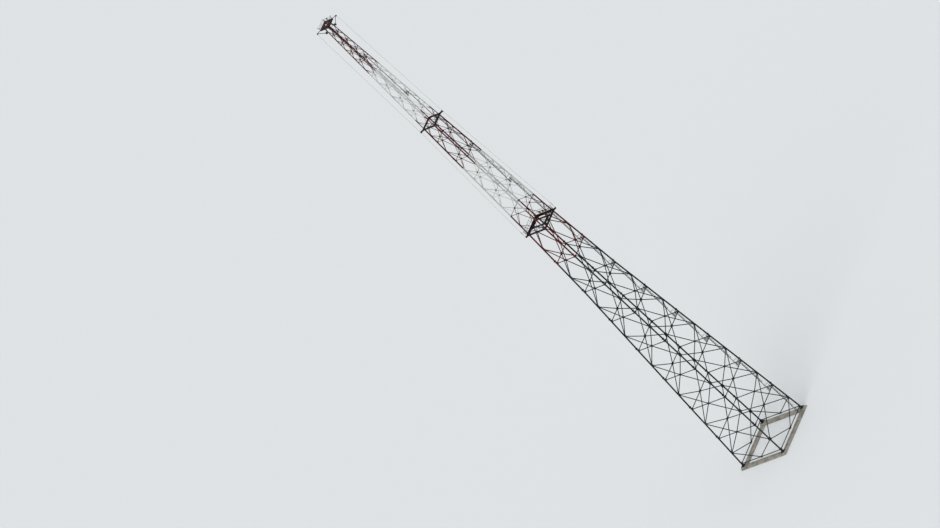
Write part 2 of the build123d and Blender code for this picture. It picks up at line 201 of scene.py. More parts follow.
def turned(points, quarters):
    """Points turned about the mast's centre line by so many quarters, from +X towards +Y."""
    cosine, sine = math.cos(quarters * math.pi / 2), math.sin(quarters * math.pi / 2)
    return points @ np.array([(cosine, sine, 0), (-sine, cosine, 0), UP])


def four_pieces(name, places, grids, finish, slot, node):
    """The grids as one piece at each of four named places, a quarter turn apart, each for its own node."""
    for quarter, place in enumerate(places):
        piece(f"{name}_{place}", [turned(grid, quarter) for grid in grids], finish, slot, f"{node}_{place}")


def mitred_ring(outline):
    """A square ring round the mast's centre line. Each point of its outline, as (distance out, height), goes
    to the four corners of a level square, and a solid runs along each side from mitre to mitre.
    """
    outline = np.array(outline, float)
    mitres = SQUARE[:, None] * outline[:, :1] + outline[:, 1:] * UP
    return np.stack((mitres, np.roll(mitres, -1, axis=0)), axis=1)


concrete, tree, place = material("board_cast_concrete")
# Cast concrete: matt and pale grey, mottled by damp, with air pits, and faint ridges left by the boards
damp = add(tree, "TexNoise", {"Vector": place, "Scale": 9.0, "Detail": 6.0})
tone = add(tree, "ValToRGB", {0: damp}, stops=((0.3, "#6E6B64"), (0.72, "#A6A298")))
pits = add(tree, "TexVoronoi", {"Vector": place, "Scale": 160.0})
pit = add(tree, "MapRange", {0: pits, 1: 0.08, 2: 0.3})
boards = add(tree, "TexWave", {"Vector": place, "Scale": 20.0, "Distortion": 1.5}, bands_direction="Z")
relief = add(tree, "Math", {0: pit, 1: boards.outputs[1]}, operation="ADD")
bump = add(tree, "Bump", {"Height": relief, "Strength": 0.4, "Distance": 0.001})
shader = add(tree, "BsdfPrincipled", {"Base Color": tone, "Roughness": 0.9, "Normal": bump})
add(tree, "OutputMaterial", {"Surface": shader})

low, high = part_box("ground_beam")
beam_outer, beam_top = high[0], high[2]
low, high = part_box("plinth_north_east")
plinth_side, plinth_top, foot_centre = high[0] - low[0], high[2], (high[0] + low[0]) / 2

# The beam's outline runs up its inner face, over both chamfers and down its outer face
beam_inner = beam_outer - plinth_side
piece("ground_beam_cast", [mitred_ring([
    (beam_inner, 0), (beam_inner, beam_top - BEAM_CHAMFER), (beam_inner + BEAM_CHAMFER, beam_top),
    (beam_outer - BEAM_CHAMFER, beam_top), (beam_outer, beam_top - BEAM_CHAMFER), (beam_outer, 0),
])], concrete, "concrete", "ground_beam")

# Each plinth is three level squares stacked on each other: its foot, and both edges of its struck-off rim
rim = plinth_side / 2 - PLINTH_BATTER
halves = np.array([plinth_side / 2, rim, rim - PLINTH_CHAMFER])[:, None, None]
levels = np.array([beam_top, plinth_top - PLINTH_CHAMFER, plinth_top])[:, None, None]
plinth = foot_centre * (OUT + ACROSS) + halves * SQUARE + levels * UP
four_pieces("plinth_cast", CORNERS, [plinth[None]], concrete, "concrete", "plinth")


# Base shoes: welded steel plates with a socket and four ribs, held down by anchor bolts cast into the
# plinths. They and the legs have a dark grey zinc-rich paint, which above the knee gives way to red and
# white bands.
BASE_PLATE_RISE = 0.009
ANCHOR_SPACING = 0.032
# Radius and length of the anchor bolts, their nuts and their washers
ANCHOR = (0.0024, 0.026)
NUT = (0.0048, 0.008)
WASHER = (0.00672, 0.002)
NUT_RISE = 0.0015
# The heights at which the bands start, and their tones: where the paint is sound, and where it has chalked
BAND_STARTS = (0.0, 5.667, 7.079, 8.45, 9.82, 11.17)
GREY, RED, WHITE = ("#14181A", "#33383A"), ("#450C10", "#662422"), ("#C9CAC6", "#A6A7A2")
BAND_WANDER = 0.004
# Paint ramps end just over the lamps, so that the spare last stop of a single band's ramp never shows
RAMP_HEIGHT = 12.6
CHALKY_SPECULAR = 0.22
# Over this z share an axis is taken as upright, and its bolts' flats face outwards
UPRIGHT_AXIS = 0.7
# A bolt's chamfer as a share of its radius
BOLT_CHAMFER = 0.2
WASHER_SIDES = 12


def weathered_paint(name, bands):
    """Brushed alkyd paint on steel in level bands from the foot up, each with its two tones. Broad patches
    of it have chalked and all of it is matt with age, rain drags rust down in thin upright streaks, and
    freckles of rust break through. The bands' edges wander by a few millimetres, as brushed ones do.
    """
    made, tree, place = material(name)
    height = add(tree, "SeparateXYZ", {0: place}).outputs["Z"]
    brushed = add(tree, "TexNoise", {"Vector": place, "Scale": 40.0, "Detail": 3.0})
    moved = add(tree, "Math", {0: brushed, 1: BAND_WANDER, 2: height}, operation="MULTIPLY_ADD")
    share = add(tree, "Math", {0: moved, 1: RAMP_HEIGHT}, operation="DIVIDE")
    states = []
    for state in (0, 1):
        stops = [(start / RAMP_HEIGHT, tones[state]) for start, tones in zip(BAND_STARTS, bands)]
        states.append(add(tree, "ValToRGB", {0: share}, stops))
        states[-1].color_ramp.interpolation = "CONSTANT"

    patches = add(tree, "TexNoise", {"Vector": place, "Scale": 6.0, "Detail": 6.0})
    chalked = add(tree, "MapRange", {0: patches, 1: 0.45, 2: 0.7})
    faded = add(tree, "Mix", {0: chalked, 6: states[0], 7: states[1]}, data_type="RGBA").outputs[2]
    stretched = add(tree, "Mapping", {"Vector": place, "Scale": (240.0, 240.0, 9.0)})
    rain = add(tree, "TexNoise", {"Vector": stretched, "Scale": 1.0, "Detail": 4.0})
    streaks = add(tree, "MapRange", {0: rain, 1: 0.55, 2: 0.75, 4: 0.45})
    streaked = add(tree, "Mix", {0: streaks, 6: faded, 7: linear("#3A2018")}, data_type="RGBA").outputs[2]
    spots = add(tree, "TexNoise", {"Vector": place, "Scale": 130.0, "Detail": 7.0})
    rusted = add(tree, "MapRange", {0: spots, 1: 0.62, 2: 0.68, 4: 0.8})
    tone = add(tree, "Mix", {0: rusted, 6: streaked, 7: linear("#4E2A1B")}, data_type="RGBA").outputs[2]

    gloss = add(tree, "MapRange", {0: patches, 1: 0.3, 2: 0.8, 3: 0.45, 4: 0.75})
    grain = add(tree, "TexNoise", {"Vector": place, "Scale": 700.0, "Detail": 2.0})
    relief = add(tree, "Math", {0: rusted, 1: 1.5, 2: grain}, operation="MULTIPLY_ADD")
    bump = add(tree, "Bump", {"Height": relief, "Strength": 0.35, "Distance": 0.0003})
    shader = add(tree, "BsdfPrincipled", {
        "Base Color": tone, "Roughness": gloss, "Normal": bump, "Specular IOR Level": CHALKY_SPECULAR})
    add(tree, "OutputMaterial", {"Surface": shader})
    return made


def unit(vectors):
    """The vectors, each divided by its own length."""
    return vectors / np.linalg.norm(vectors, axis=-1, keepdims=True)


def carried(starts, ends, facing, sections, share=(0.0, 1.0), offset=0.0, skew=0.0):
    """Solids made by carrying a section from each start to each end. A station lies at its share of the
    length plus its offset. There a point (u, v) of the section lies u to the side and v towards the facing
    direction, both square to the run, and skew times u further along it, which cuts a mitre.
    """
    starts, ends = np.broadcast_arrays(np.atleast_2d(starts), np.atleast_2d(ends))
    facing = np.asarray(facing, float)
    length = np.linalg.norm(ends - starts, axis=-1, keepdims=True)
    run = (ends - starts) / length
    face = unit(facing - (facing * run).sum(axis=-1, keepdims=True) * run)
    side = np.cross(face, run)
    u, v = np.moveaxis(np.asarray(sections, float), -1, 0)
    share, offset, skew = np.broadcast_arrays(share, offset, skew)
    along = (length * share + offset)[..., None] + skew[:, None] * u
    return (starts[:, None, None] + run[:, None, None] * along[..., None]
            + side[:, None, None] * u[..., None] + face[:, None, None] * v[..., None])


def circle(sides):
    """Points round a circle of radius 1, counter-clockwise, with flats to the side."""
    angle = (np.arange(sides) + 0.5) * 2 * np.pi / sides
    return np.stack((np.cos(angle), np.sin(angle)), axis=-1)


def bolts(points, axis, radius, reach):
    """Six-sided bolts through the points along the axis, with their two ends narrowed to a chamfer."""
    points = np.reshape(points, (-1, 3))
    axis = unit(np.broadcast_to(np.asarray(axis, float), points.shape))
    facing = np.where(np.abs(axis[:, 2:]) > UPRIGHT_AXIS, OUT, UP)
    chamfer = BOLT_CHAMFER * radius
    rims = circle(6) * (radius - chamfer * np.array([1, 0, 0, 1])[:, None, None])
    return carried(points - axis * reach / 2, points + axis * reach / 2, facing, rims,
                   (0, 0, 1, 1), (0, chamfer, -chamfer, 0))


mast_paint = weathered_paint("brushed_band_paint", (GREY, RED, WHITE, RED, WHITE, RED))
for corner in CORNERS:
    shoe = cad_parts[f"base_shoe_{corner}"]
    shoe.data.materials.clear()
    shoe.data.materials.append(mast_paint)

anchors = SQUARE * ANCHOR_SPACING + np.array([foot_centre, foot_centre, plinth_top + BASE_PLATE_RISE])
anchors = np.concatenate([turned(anchors, quarter) for quarter in range(4)])
piece("anchor_bolts", [
    bolts(anchors, UP, *ANCHOR),
    bolts(anchors + NUT_RISE * UP, UP, *NUT),
    carried(anchors - 1.5 * WASHER[1] * UP, anchors - 0.5 * WASHER[1] * UP, OUT,
            circle(WASHER_SIDES) * WASHER[0]),
], mast_paint, "grey_steel")


# Legs: steel tubes filled with concrete, in three lengths that get thinner upwards. Each tube ends in welded
# flanges, and every flange joint is drawn together by eight bolts.
PANELS = ((8, 0.818), (5, 0.532), (6, 0.378), (4, 0.252))
KNEE_RING, PLATFORM_RING, COLLAR_RING, HEAD_RING = 6, 8, 14, 23
HALF_WIDTHS = (0.554, 0.285, 0.224, 0.0565)
# Each length: its name, its first and last ring, and its material slot
LENGTHS = (
    ("lower", 0, PLATFORM_RING, "grey_steel"),
    ("middle", PLATFORM_RING, COLLAR_RING, "banded_steel"),
    ("upper", COLLAR_RING, HEAD_RING, "banded_steel"),
)
LEG_SIDES = 18
LEG_RADII = (0.015, 0.013, 0.008)
FLANGE_RADII = (0.024, 0.0205, 0.0135)
FLANGE_PLATES = (0.008, 0.006, 0.004)
FLANGE_RISE = 0.06
# The groove between two flanges: half its width, and its radius as a share of theirs
FLANGE_GAP = 0.0006
FLANGE_GROOVE = 0.9
# A flange bolt's radius as a share of the flange's breadth, and its ends' reach as a share of the leg's
# radius
FLANGE_BOLT = (0.34, 0.3)
FLANGE_BOLTS = 8
LEG_FOOT = 0.061

rings = np.cumsum(np.concatenate(([0.0], *(np.full(count, pitch) for count, pitch in PANELS))))
knee, platform_level, collar_level, head_level = rings[[KNEE_RING, PLATFORM_RING, COLLAR_RING, HEAD_RING]]
# Each length's straight stretches: where one starts and ends, and the rings that its flange joints stand over
STRETCHES = (
    ((LEG_FOOT, knee, rings[1:KNEE_RING]), (knee, platform_level, rings[KNEE_RING:PLATFORM_RING])),
    ((platform_level, collar_level, rings[PLATFORM_RING:COLLAR_RING:2]),),
    ((collar_level, head_level, rings[COLLAR_RING + 1:HEAD_RING - 1:2]),),
)


def points_at(x, y, z):
    """Points from their coordinates, any of which may be one number for them all."""
    return np.stack(np.broadcast_arrays(x, y, z), axis=-1).astype(float)


def half(height):
    """Half the distance between the legs' centre lines: straight from ground to knee to platform to head."""
    return np.interp(height, rings[[0, KNEE_RING, PLATFORM_RING, HEAD_RING]], HALF_WIDTHS)


def leg_line(height):
    """Points on the north-east leg's centre line at these heights."""
    return points_at(half(height), half(height), height)


def leg_tube(low, high, radius, joints, flange, plate):
    """A tube along the north-east leg between two heights, and the bolts of its flanges. Its radius steps
    out to the flange's for two plates at each joint, with a fine groove between them.
    """
    groove = FLANGE_GROOVE * flange
    flanges = np.array([
        (-plate, radius), (-plate, flange), (-FLANGE_GAP, flange), (-FLANGE_GAP, groove),
        (FLANGE_GAP, groove), (FLANGE_GAP, flange), (plate, flange), (plate, radius),
    ])
    steps = np.concatenate(([(low, radius)], *(flanges + (joint, 0) for joint in joints), [(high, radius)]))
    tube = carried(leg_line(low), leg_line(high), OUT + ACROSS, circle(LEG_SIDES) * steps[:, 1, None, None],
                   (steps[:, 0] - low) / (high - low))
    run = unit(leg_line(high) - leg_line(low))
    out = unit(np.cross(np.cross(run, OUT + ACROSS), run))
    spots = circle(FLANGE_BOLTS) * (radius + flange) / 2
    places = leg_line(joints)[:, None] + spots[:, :1] * np.cross(out, run) + spots[:, 1:] * out
    bolt_radius, bolt_reach = FLANGE_BOLT[0] * (flange - radius), 2 * plate + FLANGE_BOLT[1] * radius
    return [tube, bolts(places, run, bolt_radius, bolt_reach)]


for (length, _, _, slot), stretches, radius, flange, plate in zip(
        LENGTHS, STRETCHES, LEG_RADII, FLANGE_RADII, FLANGE_PLATES):
    grids = []
    for low, high, joints in stretches:
        grids += leg_tube(low, high, radius, joints + FLANGE_RISE, flange, plate)
    four_pieces(f"leg_tube_{length}", CORNERS, grids, mast_paint, slot, f"{length}_leg")


# Bracing: round steel tubes whose ends are pressed flat and bolted to plates. Six meet on a plate in the
# middle of each side at every ring, and the others end on fin plates welded to the legs.
SIDES = ("east", "north", "west", "south")
HANDS = np.array([-1, 1])
# The lowest level bars tie the legs just over their feet
BASE_TIE = LEG_FOOT + 0.05
BAR_RADII = (0.0085, 0.005, 0.00375)
BAR_SIDES = 10
# A bar's flattened end: the length it takes to flatten, its spread as a share of the bar's radius, its wall,
# and how deep it goes into the leg as a share of the leg's radius
FLAT_END = 0.014
FLAT_SPREAD = 1.3
FLAT_WALL = 0.0012
BAR_IN_LEG = 0.9
# The plates' width and thickness, and shares of that width: where a bar starts from the knot, where its flat
# ends stop at the knot and at the leg, where its bolts are at both, a knot plate's reach and a fin's half arm
GUSSETS = (0.064, 0.044, 0.032)
GUSSET_PLATES = (0.005, 0.0035, 0.0025)
BAR_START, FLAT_AT_KNOT, FLAT_AT_LEG = 0.2, 0.62, 0.42
KNOT_BOLTS, LEG_BOLTS = (0.34, 0.5), (0.16, 0.32)
KNOT_REACH, FIN_REACH, FIN_ARM = 0.56, 0.45, 0.2
# Knot plates reach further along the level bars by this share, and lean inwards by this slope. The way across
# and up to the lowest one's lower corners, and to the highest one's upper ones with their share of the reach.
LEVEL_REACH = 1.1
KNOT_LEAN = 0.06
FOOT_CORNER = (0.3, -0.2)
CROWN_CORNER, CROWN_REACH = (0.1, 0.01), 0.25
# Shares of the bar's radius: a bolt's radius, and how far its two ends together stand out of the plate
BAR_BOLT = (0.36, 0.85)
PLATE_CHAMFER = 0.0004
# Painted shade: the plates are painted darker than the tubes in every band, also between white tubes, so that
# the knots stand out dark
SHADED_KNOT_RED = ("#2C080A", "#401817")
PAINTED_SHADE_BANDS = (("#101315", "#25292B"), SHADED_KNOT_RED, ("#5C5B58", "#45413E"), SHADED_KNOT_RED,
                ("#565552", "#403C3A"), SHADED_KNOT_RED)

# The knot plates and their bolts take this paint, whose darker bands are painted shade
plate_paint_with_shade = weathered_paint("band_paint_with_painted_shade_on_plates", PAINTED_SHADE_BANDS)
knot_levels = np.array([BASE_TIE, *rings[1:]])


def all_quarters(grids, extra=0):
    """The grids, turned by the extra quarters, and their copies turned on to the three other quarters."""
    return [turned(grid, quarter + extra) for grid in grids for quarter in range(4)]


def plates(outlines, axis, thickness):
    """Flat plates of the outlines, half their thickness to each side along the axis, with chamfered edges. An
    outline that runs clockwise about the axis is taken the other way round.
    """
    outlines = np.array(outlines, float, ndmin=3)
    axis = unit(np.broadcast_to(np.asarray(axis, float), outlines[:, 0].shape))
    turning = (np.cross(outlines, np.roll(outlines, -1, axis=1)).sum(axis=1) * axis).sum(axis=-1)
    outlines = np.where((turning < 0)[:, None, None], outlines[:, ::-1], outlines)
    inwards = unit(outlines.mean(axis=1, keepdims=True) - outlines) * PLATE_CHAMFER
    narrowed = np.array([1, 0, 0, 1])[:, None, None]
    levels = np.array([-1, -1, 1, 1]) * thickness / 2 + np.array([0, 1, -1, 0]) * PLATE_CHAMFER
    return outlines[:, None] + narrowed * inwards[:, None] + levels[:, None, None] * axis[:, None, None]


def lean(ring):
    """How much the half width shrinks for each metre up, in the panel that stands on this ring."""
    return (half(rings[ring]) - half(rings[ring + 1])) / (rings[ring + 1] - rings[ring])


def side_bars(low_ring, high_ring):
    """The +X side's bars: their knots in its middle, their ends on the legs' centre lines, and the way the
    side faces there. From a knot, bars run level to both legs, and to both legs half a panel up and down.
    The lowest ring's level bars belong to the length below, where there is one.
    """
    knots, ends, facings = [], [], []
    for ring in range(low_ring, high_ring + 1):
        knot = knot_levels[ring]
        for way in (0, 1, -1):
            if not low_ring <= ring + way <= high_ring or (way == 0 and ring == low_ring > 0):
                continue
            end = (rings[ring] + rings[ring + way]) / 2 if way else knot
            knots += 2 * [(half(knot), 0, knot)]
            ends += [(half(end), hand * half(end), end) for hand in HANDS]
            facings += 2 * [(1, 0, lean(ring if way > 0 else max(ring - 1, 0)))]
    return np.array(knots), np.array(ends), unit(np.array(facings))


def bracing_tubes(knots, ends, facings, radius, leg_radius, gusset, plate):
    """Tubes from knot plates to fin plates on the legs, their bolts at the knots, and their bolts at the
    legs. A tube's section is a circle, and towards both ends it flattens in the side's plane to an ellipse
    just thicker than the plate, which holds two bolts.
    """
    tube = circle(BAR_SIDES) * radius
    flat = circle(BAR_SIDES) * (FLAT_SPREAD * radius, plate / 2 + FLAT_WALL)
    flat_knot, flat_leg = FLAT_AT_KNOT * gusset, leg_radius + FLAT_AT_LEG * gusset
    offsets = (BAR_START * gusset, flat_knot, flat_knot + FLAT_END,
               -flat_leg - FLAT_END, -flat_leg, -BAR_IN_LEG * leg_radius)
    sections = np.stack((flat, flat, tube, tube, flat, flat))
    tubes = carried(knots, ends, facings, sections, (0, 0, 0, 1, 1, 1), offsets)
    run = unit(ends - knots)
    holes = ([knots + run * share * gusset for share in KNOT_BOLTS],
             [ends - run * (leg_radius + share * gusset) for share in LEG_BOLTS])
    bolt = (BAR_BOLT[0] * radius, plate + BAR_BOLT[1] * radius)
    return tubes, *(bolts(places, np.tile(facings, (2, 1)), *bolt) for places in holes)


def knot_plates(levels, gusset, plate):
    """The +X side's plates in the middle of each ring: six-sided, with a corner on each bar. The lowest plate
    has its lower corners near the foot, and the highest is cut off level over its bars.
    """
    outlines = []
    for ring in levels:
        height = knot_levels[ring]
        above, beneath = ((rings[ring] + rings[np.clip(ring + way, 0, HEAD_RING)]) / 2 for way in (1, -1))
        ends = ((above, 1), (above, -1), (height, -1), (beneath, -1), (beneath, 1), (height, 1))
        corners = np.array([(half(level), hand * half(level), level) for level, hand in ends])
        reach = gusset * KNOT_REACH * np.array([1, 1, LEVEL_REACH, 1, 1, LEVEL_REACH])[:, None]
        if ring == 0:
            corners[3:5] = points_at(half(height), FOOT_CORNER[0] * HANDS, height + FOOT_CORNER[1])
        if ring == HEAD_RING:
            corners[:2] = points_at(half(height), CROWN_CORNER[0] * -HANDS, height + CROWN_CORNER[1])
            reach[:2] *= CROWN_REACH
        centre = np.array([half(height), 0, height])
        outlines.append(centre + unit(corners - centre) * reach)
    return plates(outlines, (1, 0, KNOT_LEAN), plate)


def fin_plates(rings_met, between, leg_radius, gusset, plate):
    """Plates welded to the +X side's legs. At a ring the plate is a strip that widens to the leg. Between a
    ring and the next, it has one arm for the bar that comes up and one for the bar that comes down.
    """
    outlines, axes = [], []
    for ring in rings_met:
        targets = [knot_levels[ring], rings[ring + 1]] if between else [knot_levels[ring]]
        height = (rings[ring] + rings[ring + 1]) / 2 if between else knot_levels[ring]
        slope = lean(min(ring, HEAD_RING - 1))
        for hand in HANDS:
            place = np.array([half(height), hand * half(height), height])
            along = unit(np.array([-slope, -hand * slope, 1.0]))
            foot, top = place - along * FIN_REACH * gusset, place + along * FIN_REACH * gusset
            runs = unit(np.array([(half(target), 0, target) for target in targets]) - place)[:, None]
            sides = np.cross((1, 0, slope), runs) * -hand * HANDS[:, None] * FIN_ARM * gusset
            arms = (place + runs * (leg_radius + FIN_REACH * gusset) + sides).reshape(-1, 3)
            if ring == HEAD_RING:
                top = place - along * PLATE_CHAMFER
                arms[1] = arms[0] + (top - place) + along * FIN_ARM * gusset
            outlines.append([foot, *arms, top])
            axes.append((1, 0, slope))
    return plates(outlines, axes, plate)


for (length, low_ring, high_ring, slot), radius, leg_radius, gusset, plate in zip(
        LENGTHS, BAR_RADII, LEG_RADII, GUSSETS, GUSSET_PLATES):
    levels = range(low_ring + (low_ring > 0), high_ring + 1)
    tubes, knot_bolts, leg_bolts = bracing_tubes(
        *side_bars(low_ring, high_ring), radius, leg_radius, gusset, plate)
    fins = [fin_plates(levels, False, leg_radius, gusset, plate),
            fin_plates(range(low_ring, high_ring), True, leg_radius, gusset, plate)]
    four_pieces(f"bracing_tubes_{length}", SIDES, [tubes, leg_bolts, *fins], mast_paint, slot,
                f"{length}_bracing")
    # Knot plates and their bolts, in the band paint darkened as painted shade
    piece(f"knot_plates_{length}", all_quarters([knot_plates(levels, gusset, plate), knot_bolts]),
          plate_paint_with_shade, slot)


# Working platform: channel beams round the outside of the legs, two I-section joists on the bracing and a
# channel arm at each corner, bolted up with corner plates. The gratings are steel bars pressed together.
ROOT_2 = math.sqrt(2)
# Half a quarter turn brings what is laid out along +X to a corner
TO_CORNER = 0.5
FIT = 0.0004
SECTION_WALL = 0.0016
ARM_WIDTH = 0.009
CORNER_PLATE = 0.0019
CORNER_PLATE_SINK = 0.001
CORNER_PLATE_EDGE = 0.0005
RIB_THICKNESS = 0.0016
RIB_GAP = 0.0002
# A rib's bolts lie beside it, above and below its middle
RIB_BOLT_SIDE, RIB_BOLT_RISE = 0.006, 0.009
PLATFORM_BEAM = (0.012, 0.034)
PLATFORM_CORNER = (0.075, 0.018)
PLATFORM_RIBS = (7, 0.03)
PLATFORM_BOLT = (0.0016, 0.0052)
PLATFORM_ARM = 0.4
JOIST = (0.010, 0.017)
JOIST_PLACES = 0.105 * HANDS
GRATING = (0.082, 0.25)
GRATING_BAR = (0.0008, 0.003)
GRATING_PITCH = 0.003
GRATING_ROD_PITCH = 0.010
PLANK = (0.056, 0.0025)
PLANK_GAP = 0.002

deck_paint = weathered_paint("brushed_deck_paint", (("#130607", "#281617"),))

galvanised, tree, place = material("hot_dip_galvanised_steel")
# Steel dipped in molten zinc: grey with frosty crystals, dulled by weather, with stains where damp stands.
# The crystals are drawn at 4 mm, larger than at this scale, so that they show.
crystals = add(tree, "TexVoronoi", {"Vector": place, "Scale": 250.0})
frost = add(tree, "SeparateColor", {0: crystals.outputs["Color"]})
tone = add(tree, "ValToRGB", {0: frost}, stops=((0.0, "#565A5C"), (1.0, "#85898A")))
damp = add(tree, "TexNoise", {"Vector": place, "Scale": 14.0, "Detail": 5.0})
stained = add(tree, "MapRange", {0: damp, 1: 0.52, 2: 0.75, 4: 0.6})
mixed = add(tree, "Mix", {0: stained, 6: tone, 7: linear("#54483F")}, data_type="RGBA").outputs[2]
dulled = add(tree, "MapRange", {0: frost.outputs[1], 3: 0.4, 4: 0.6})
shader = add(tree, "BsdfPrincipled", {"Base Color": mixed, "Roughness": dulled, "Metallic": 0.85})
add(tree, "OutputMaterial", {"Surface": shader})


def rectangle(width, height):
    """A rectangle's corners, counter-clockwise."""
    return SQUARE[:, :2] * np.array([width, height]) / 2


def channel(width, height):
    """A channel's outline: its web stands at the positive side, and both flanges point to the other."""
    right, top, wall = width / 2, height / 2, SECTION_WALL
    return np.array([
        (right, -top), (right, top), (-right, top), (-right, top - wall), (right - wall, top - wall),
        (right - wall, wall - top), (-right, wall - top), (-right, -top),
    ])


def i_section(width, height):
    """An I-section's outline: a web between two flanges, its left half the right one turned half round."""
    right, top, wall = width / 2, height / 2, SECTION_WALL
    right_half = np.array([(right, -top), (right, wall - top), (wall / 2, wall - top), (wall / 2, top - wall),
                           (right, top - wall), (right, top)])
    return np.concatenate((right_half, -right_half))


def bars(start, end, section, facing=UP):
    """Straight bars of one section. Their ends are given as x, y and z, each one number or one for each."""
    return carried(points_at(*start), points_at(*end), facing, section)


def block(low, high):
    """One block between its lowest and highest corner."""
    low, high = np.array(low), np.array(high)
    x, y = (low + high)[:2] / 2
    return bars((x, y, low[2]), (x, y, high[2]), rectangle(*(high - low)[:2]), ACROSS)


def square_frame(outer, low, width, height):
    """Four channel beams with their webs outside, round a square, mitred into each other at its corners."""
    middle, level = outer - width / 2, low + height / 2
    start, end = (middle, middle, level), (middle, -middle, level)
    return all_quarters([carried(start, end, UP, channel(width, height), skew=(-1, 1))])


def corner_arm(start, end, low, height):
    """A channel beam outwards along +X, to be turned to the corners, with its ends cut square."""
    level = low + height / 2
    return bars((start, 0, level), (end, 0, level), channel(ARM_WIDTH, height))


def beam_ring(outer, low, beam, arm_end, corner, ribs, bolt):
    """Channel beams round a square with an arm from each corner. Over and under each corner lies a plate,
    with the length of its sides and the width of its ends as given. Ribs stiffen the webs, so many to each
    side of the middle at their pitch, each with a bolt above and below its own middle.
    """
    width, height = beam
    arm = corner_arm((outer - width) * ROOT_2 + ARM_WIDTH, arm_end, low, height)
    side, end = corner
    outline = outer + CORNER_PLATE_EDGE - np.array([(0, 0), (side, 0), (side, end), (end, side), (0, side)])
    levels = (low + height - CORNER_PLATE_SINK, low + CORNER_PLATE_SINK)
    count, pitch = ribs
    centres = points_at(outer - width / 2 - RIB_GAP, np.arange(-count, count + 1) * pitch, low + height / 2)
    heads = [centres + (width / 2 - RIB_GAP, RIB_BOLT_SIDE, rise) for rise in -HANDS * RIB_BOLT_RISE]
    return square_frame(outer, low, *beam) + all_quarters([arm], TO_CORNER) + all_quarters([
        plates([points_at(*outline.T, level) for level in levels], UP, CORNER_PLATE),
        carried(centres - RIB_THICKNESS / 2 * ACROSS, centres + RIB_THICKNESS / 2 * ACROSS, UP,
                rectangle(width - 6 * RIB_GAP, height - 2 * SECTION_WALL)),
        bolts(heads, OUT, *bolt),
    ])


def grating(low, high):
    """A grating between two corners: flat bars on edge across it, square cross rods let into their tops, and
    a flat rim round it.
    """
    wide, deep = GRATING_BAR
    rows = np.arange(low[1] + GRATING_PITCH, high[1] - GRATING_PITCH / 2, GRATING_PITCH)
    places = np.arange(low[0] + GRATING_ROD_PITCH / 2, high[0], GRATING_ROD_PITCH)
    middle, top = high[2] - deep / 2, high[2] - wide / 2
    grids = [bars((low[0], rows, middle), (high[0], rows, middle), rectangle(wide, deep - FIT)),
             bars((places, low[1], top), (places, high[1], top), rectangle(wide, wide))]
    for axis in (1, 0):
        for edge in (low[axis], high[axis] - 2 * wide):
            start, end = np.array(low), np.array(high)
            start[axis], end[axis] = edge, edge + 2 * wide
            grids.append(block(start, end))
    return grids


platform_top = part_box("platform_walkways")[0][2]
platform_low = platform_top - PLATFORM_BEAM[1]
platform_outer = half(platform_low) + LEG_RADII[0] + FIT + PLATFORM_BEAM[0]
beams = beam_ring(platform_outer, platform_low, PLATFORM_BEAM, PLATFORM_ARM, PLATFORM_CORNER, PLATFORM_RIBS,
                  PLATFORM_BOLT)
reach, level = platform_outer - PLATFORM_BEAM[0] / 2, platform_top - JOIST[1] / 2
beams.append(bars((-reach, JOIST_PLACES, level), (reach, JOIST_PLACES, level), i_section(*JOIST)))
piece("platform_beams", beams, deck_paint, "deck_steel", "platform_frame")

walk_outer = half(platform_level) - BAR_RADII[0] - FIT
walk_inner = walk_outer - GRATING[0]
walkway = grating((walk_inner, -GRATING[1] / 2, platform_top),
                  (walk_outer, GRATING[1] / 2, platform_top + GRATING_BAR[1]))
# A narrow plank lies on each joist between the two gratings
reach = walk_inner - PLANK_GAP
planks = [block((-reach, place - PLANK[0] / 2, platform_top),
                (reach, place + PLANK[0] / 2, platform_top + PLANK[1])) for place in JOIST_PLACES]
piece("platform_gratings", walkway + [turned(grid, 2) for grid in walkway] + planks, deck_paint, "deck_steel",
      "platform_walkways")


# Platform handrail: round tubes welded to posts with turned knuckles, and a flat toe board. The posts' feet
# are bolted to the outside of the edge beams. Three cable boxes hang in a row on the north rail.
RAIL_TUBE = 0.0055
RAIL_SIDES, POST_SIDES = 10, 8
RAIL_POSTS = 6
RAIL_POST_INSET = 0.018
RAIL_HEIGHT = 0.1
# Shares of a tube's radius: a post's radius, and how far its knuckles reach under a level tube and over it
POST_RADIUS, KNUCKLE_UNDER, KNUCKLE_OVER = 0.85, 1.5, 0.9
# The pad at a post's foot: its thickness, its width as a share of the tube's, and its ends as shares of the
# beam's depth. Its bolts' place and radius are shares of the tube's width, and their levels are shares of the
# depth. Their middles lie so far out from the tube's back.
PAD_THICKNESS, PAD_WIDTH, PAD_ENDS = 0.0024, 2.1, (0.1, 0.9)
PAD_BOLT_SIDE, PAD_BOLT_RADIUS, PAD_BOLT_LEVELS = 0.75, 0.2, (0.2, 0.8)
PAD_BOLT_OUT, PAD_BOLT_REACH = 0.0026, 0.0022
TOE_BOARD = (0.0012, 0.010)
# A cable box's width, depth and height, how high it hangs over the deck, and the boxes' places along the rail
PLATFORM_BOX = (0.034, 0.014, 0.04)
PLATFORM_BOX_DROP = 0.034
PLATFORM_BOX_PLACES = (-0.085, 0.005, 0.085)
# A box's lid: how much wider it is, its thickness, and how far its middle stands before the box
BOX_LID = (0.002, 0.0016, 0.0005)
CONDUIT_RADIUS = 0.0016
CONDUIT_SIDES = 8
CONDUIT_LAP = 0.001


def revolved(centres, steps, sides, axis=UP, facing=OUT):
    """Round solids on the centres: the steps are distances along the axis and the radius at each."""
    along, radii = np.array(steps, float).T
    centres = np.atleast_2d(centres)
    return carried(centres, centres + axis, facing, circle(sides) * radii[:, None, None], 0.0, along)


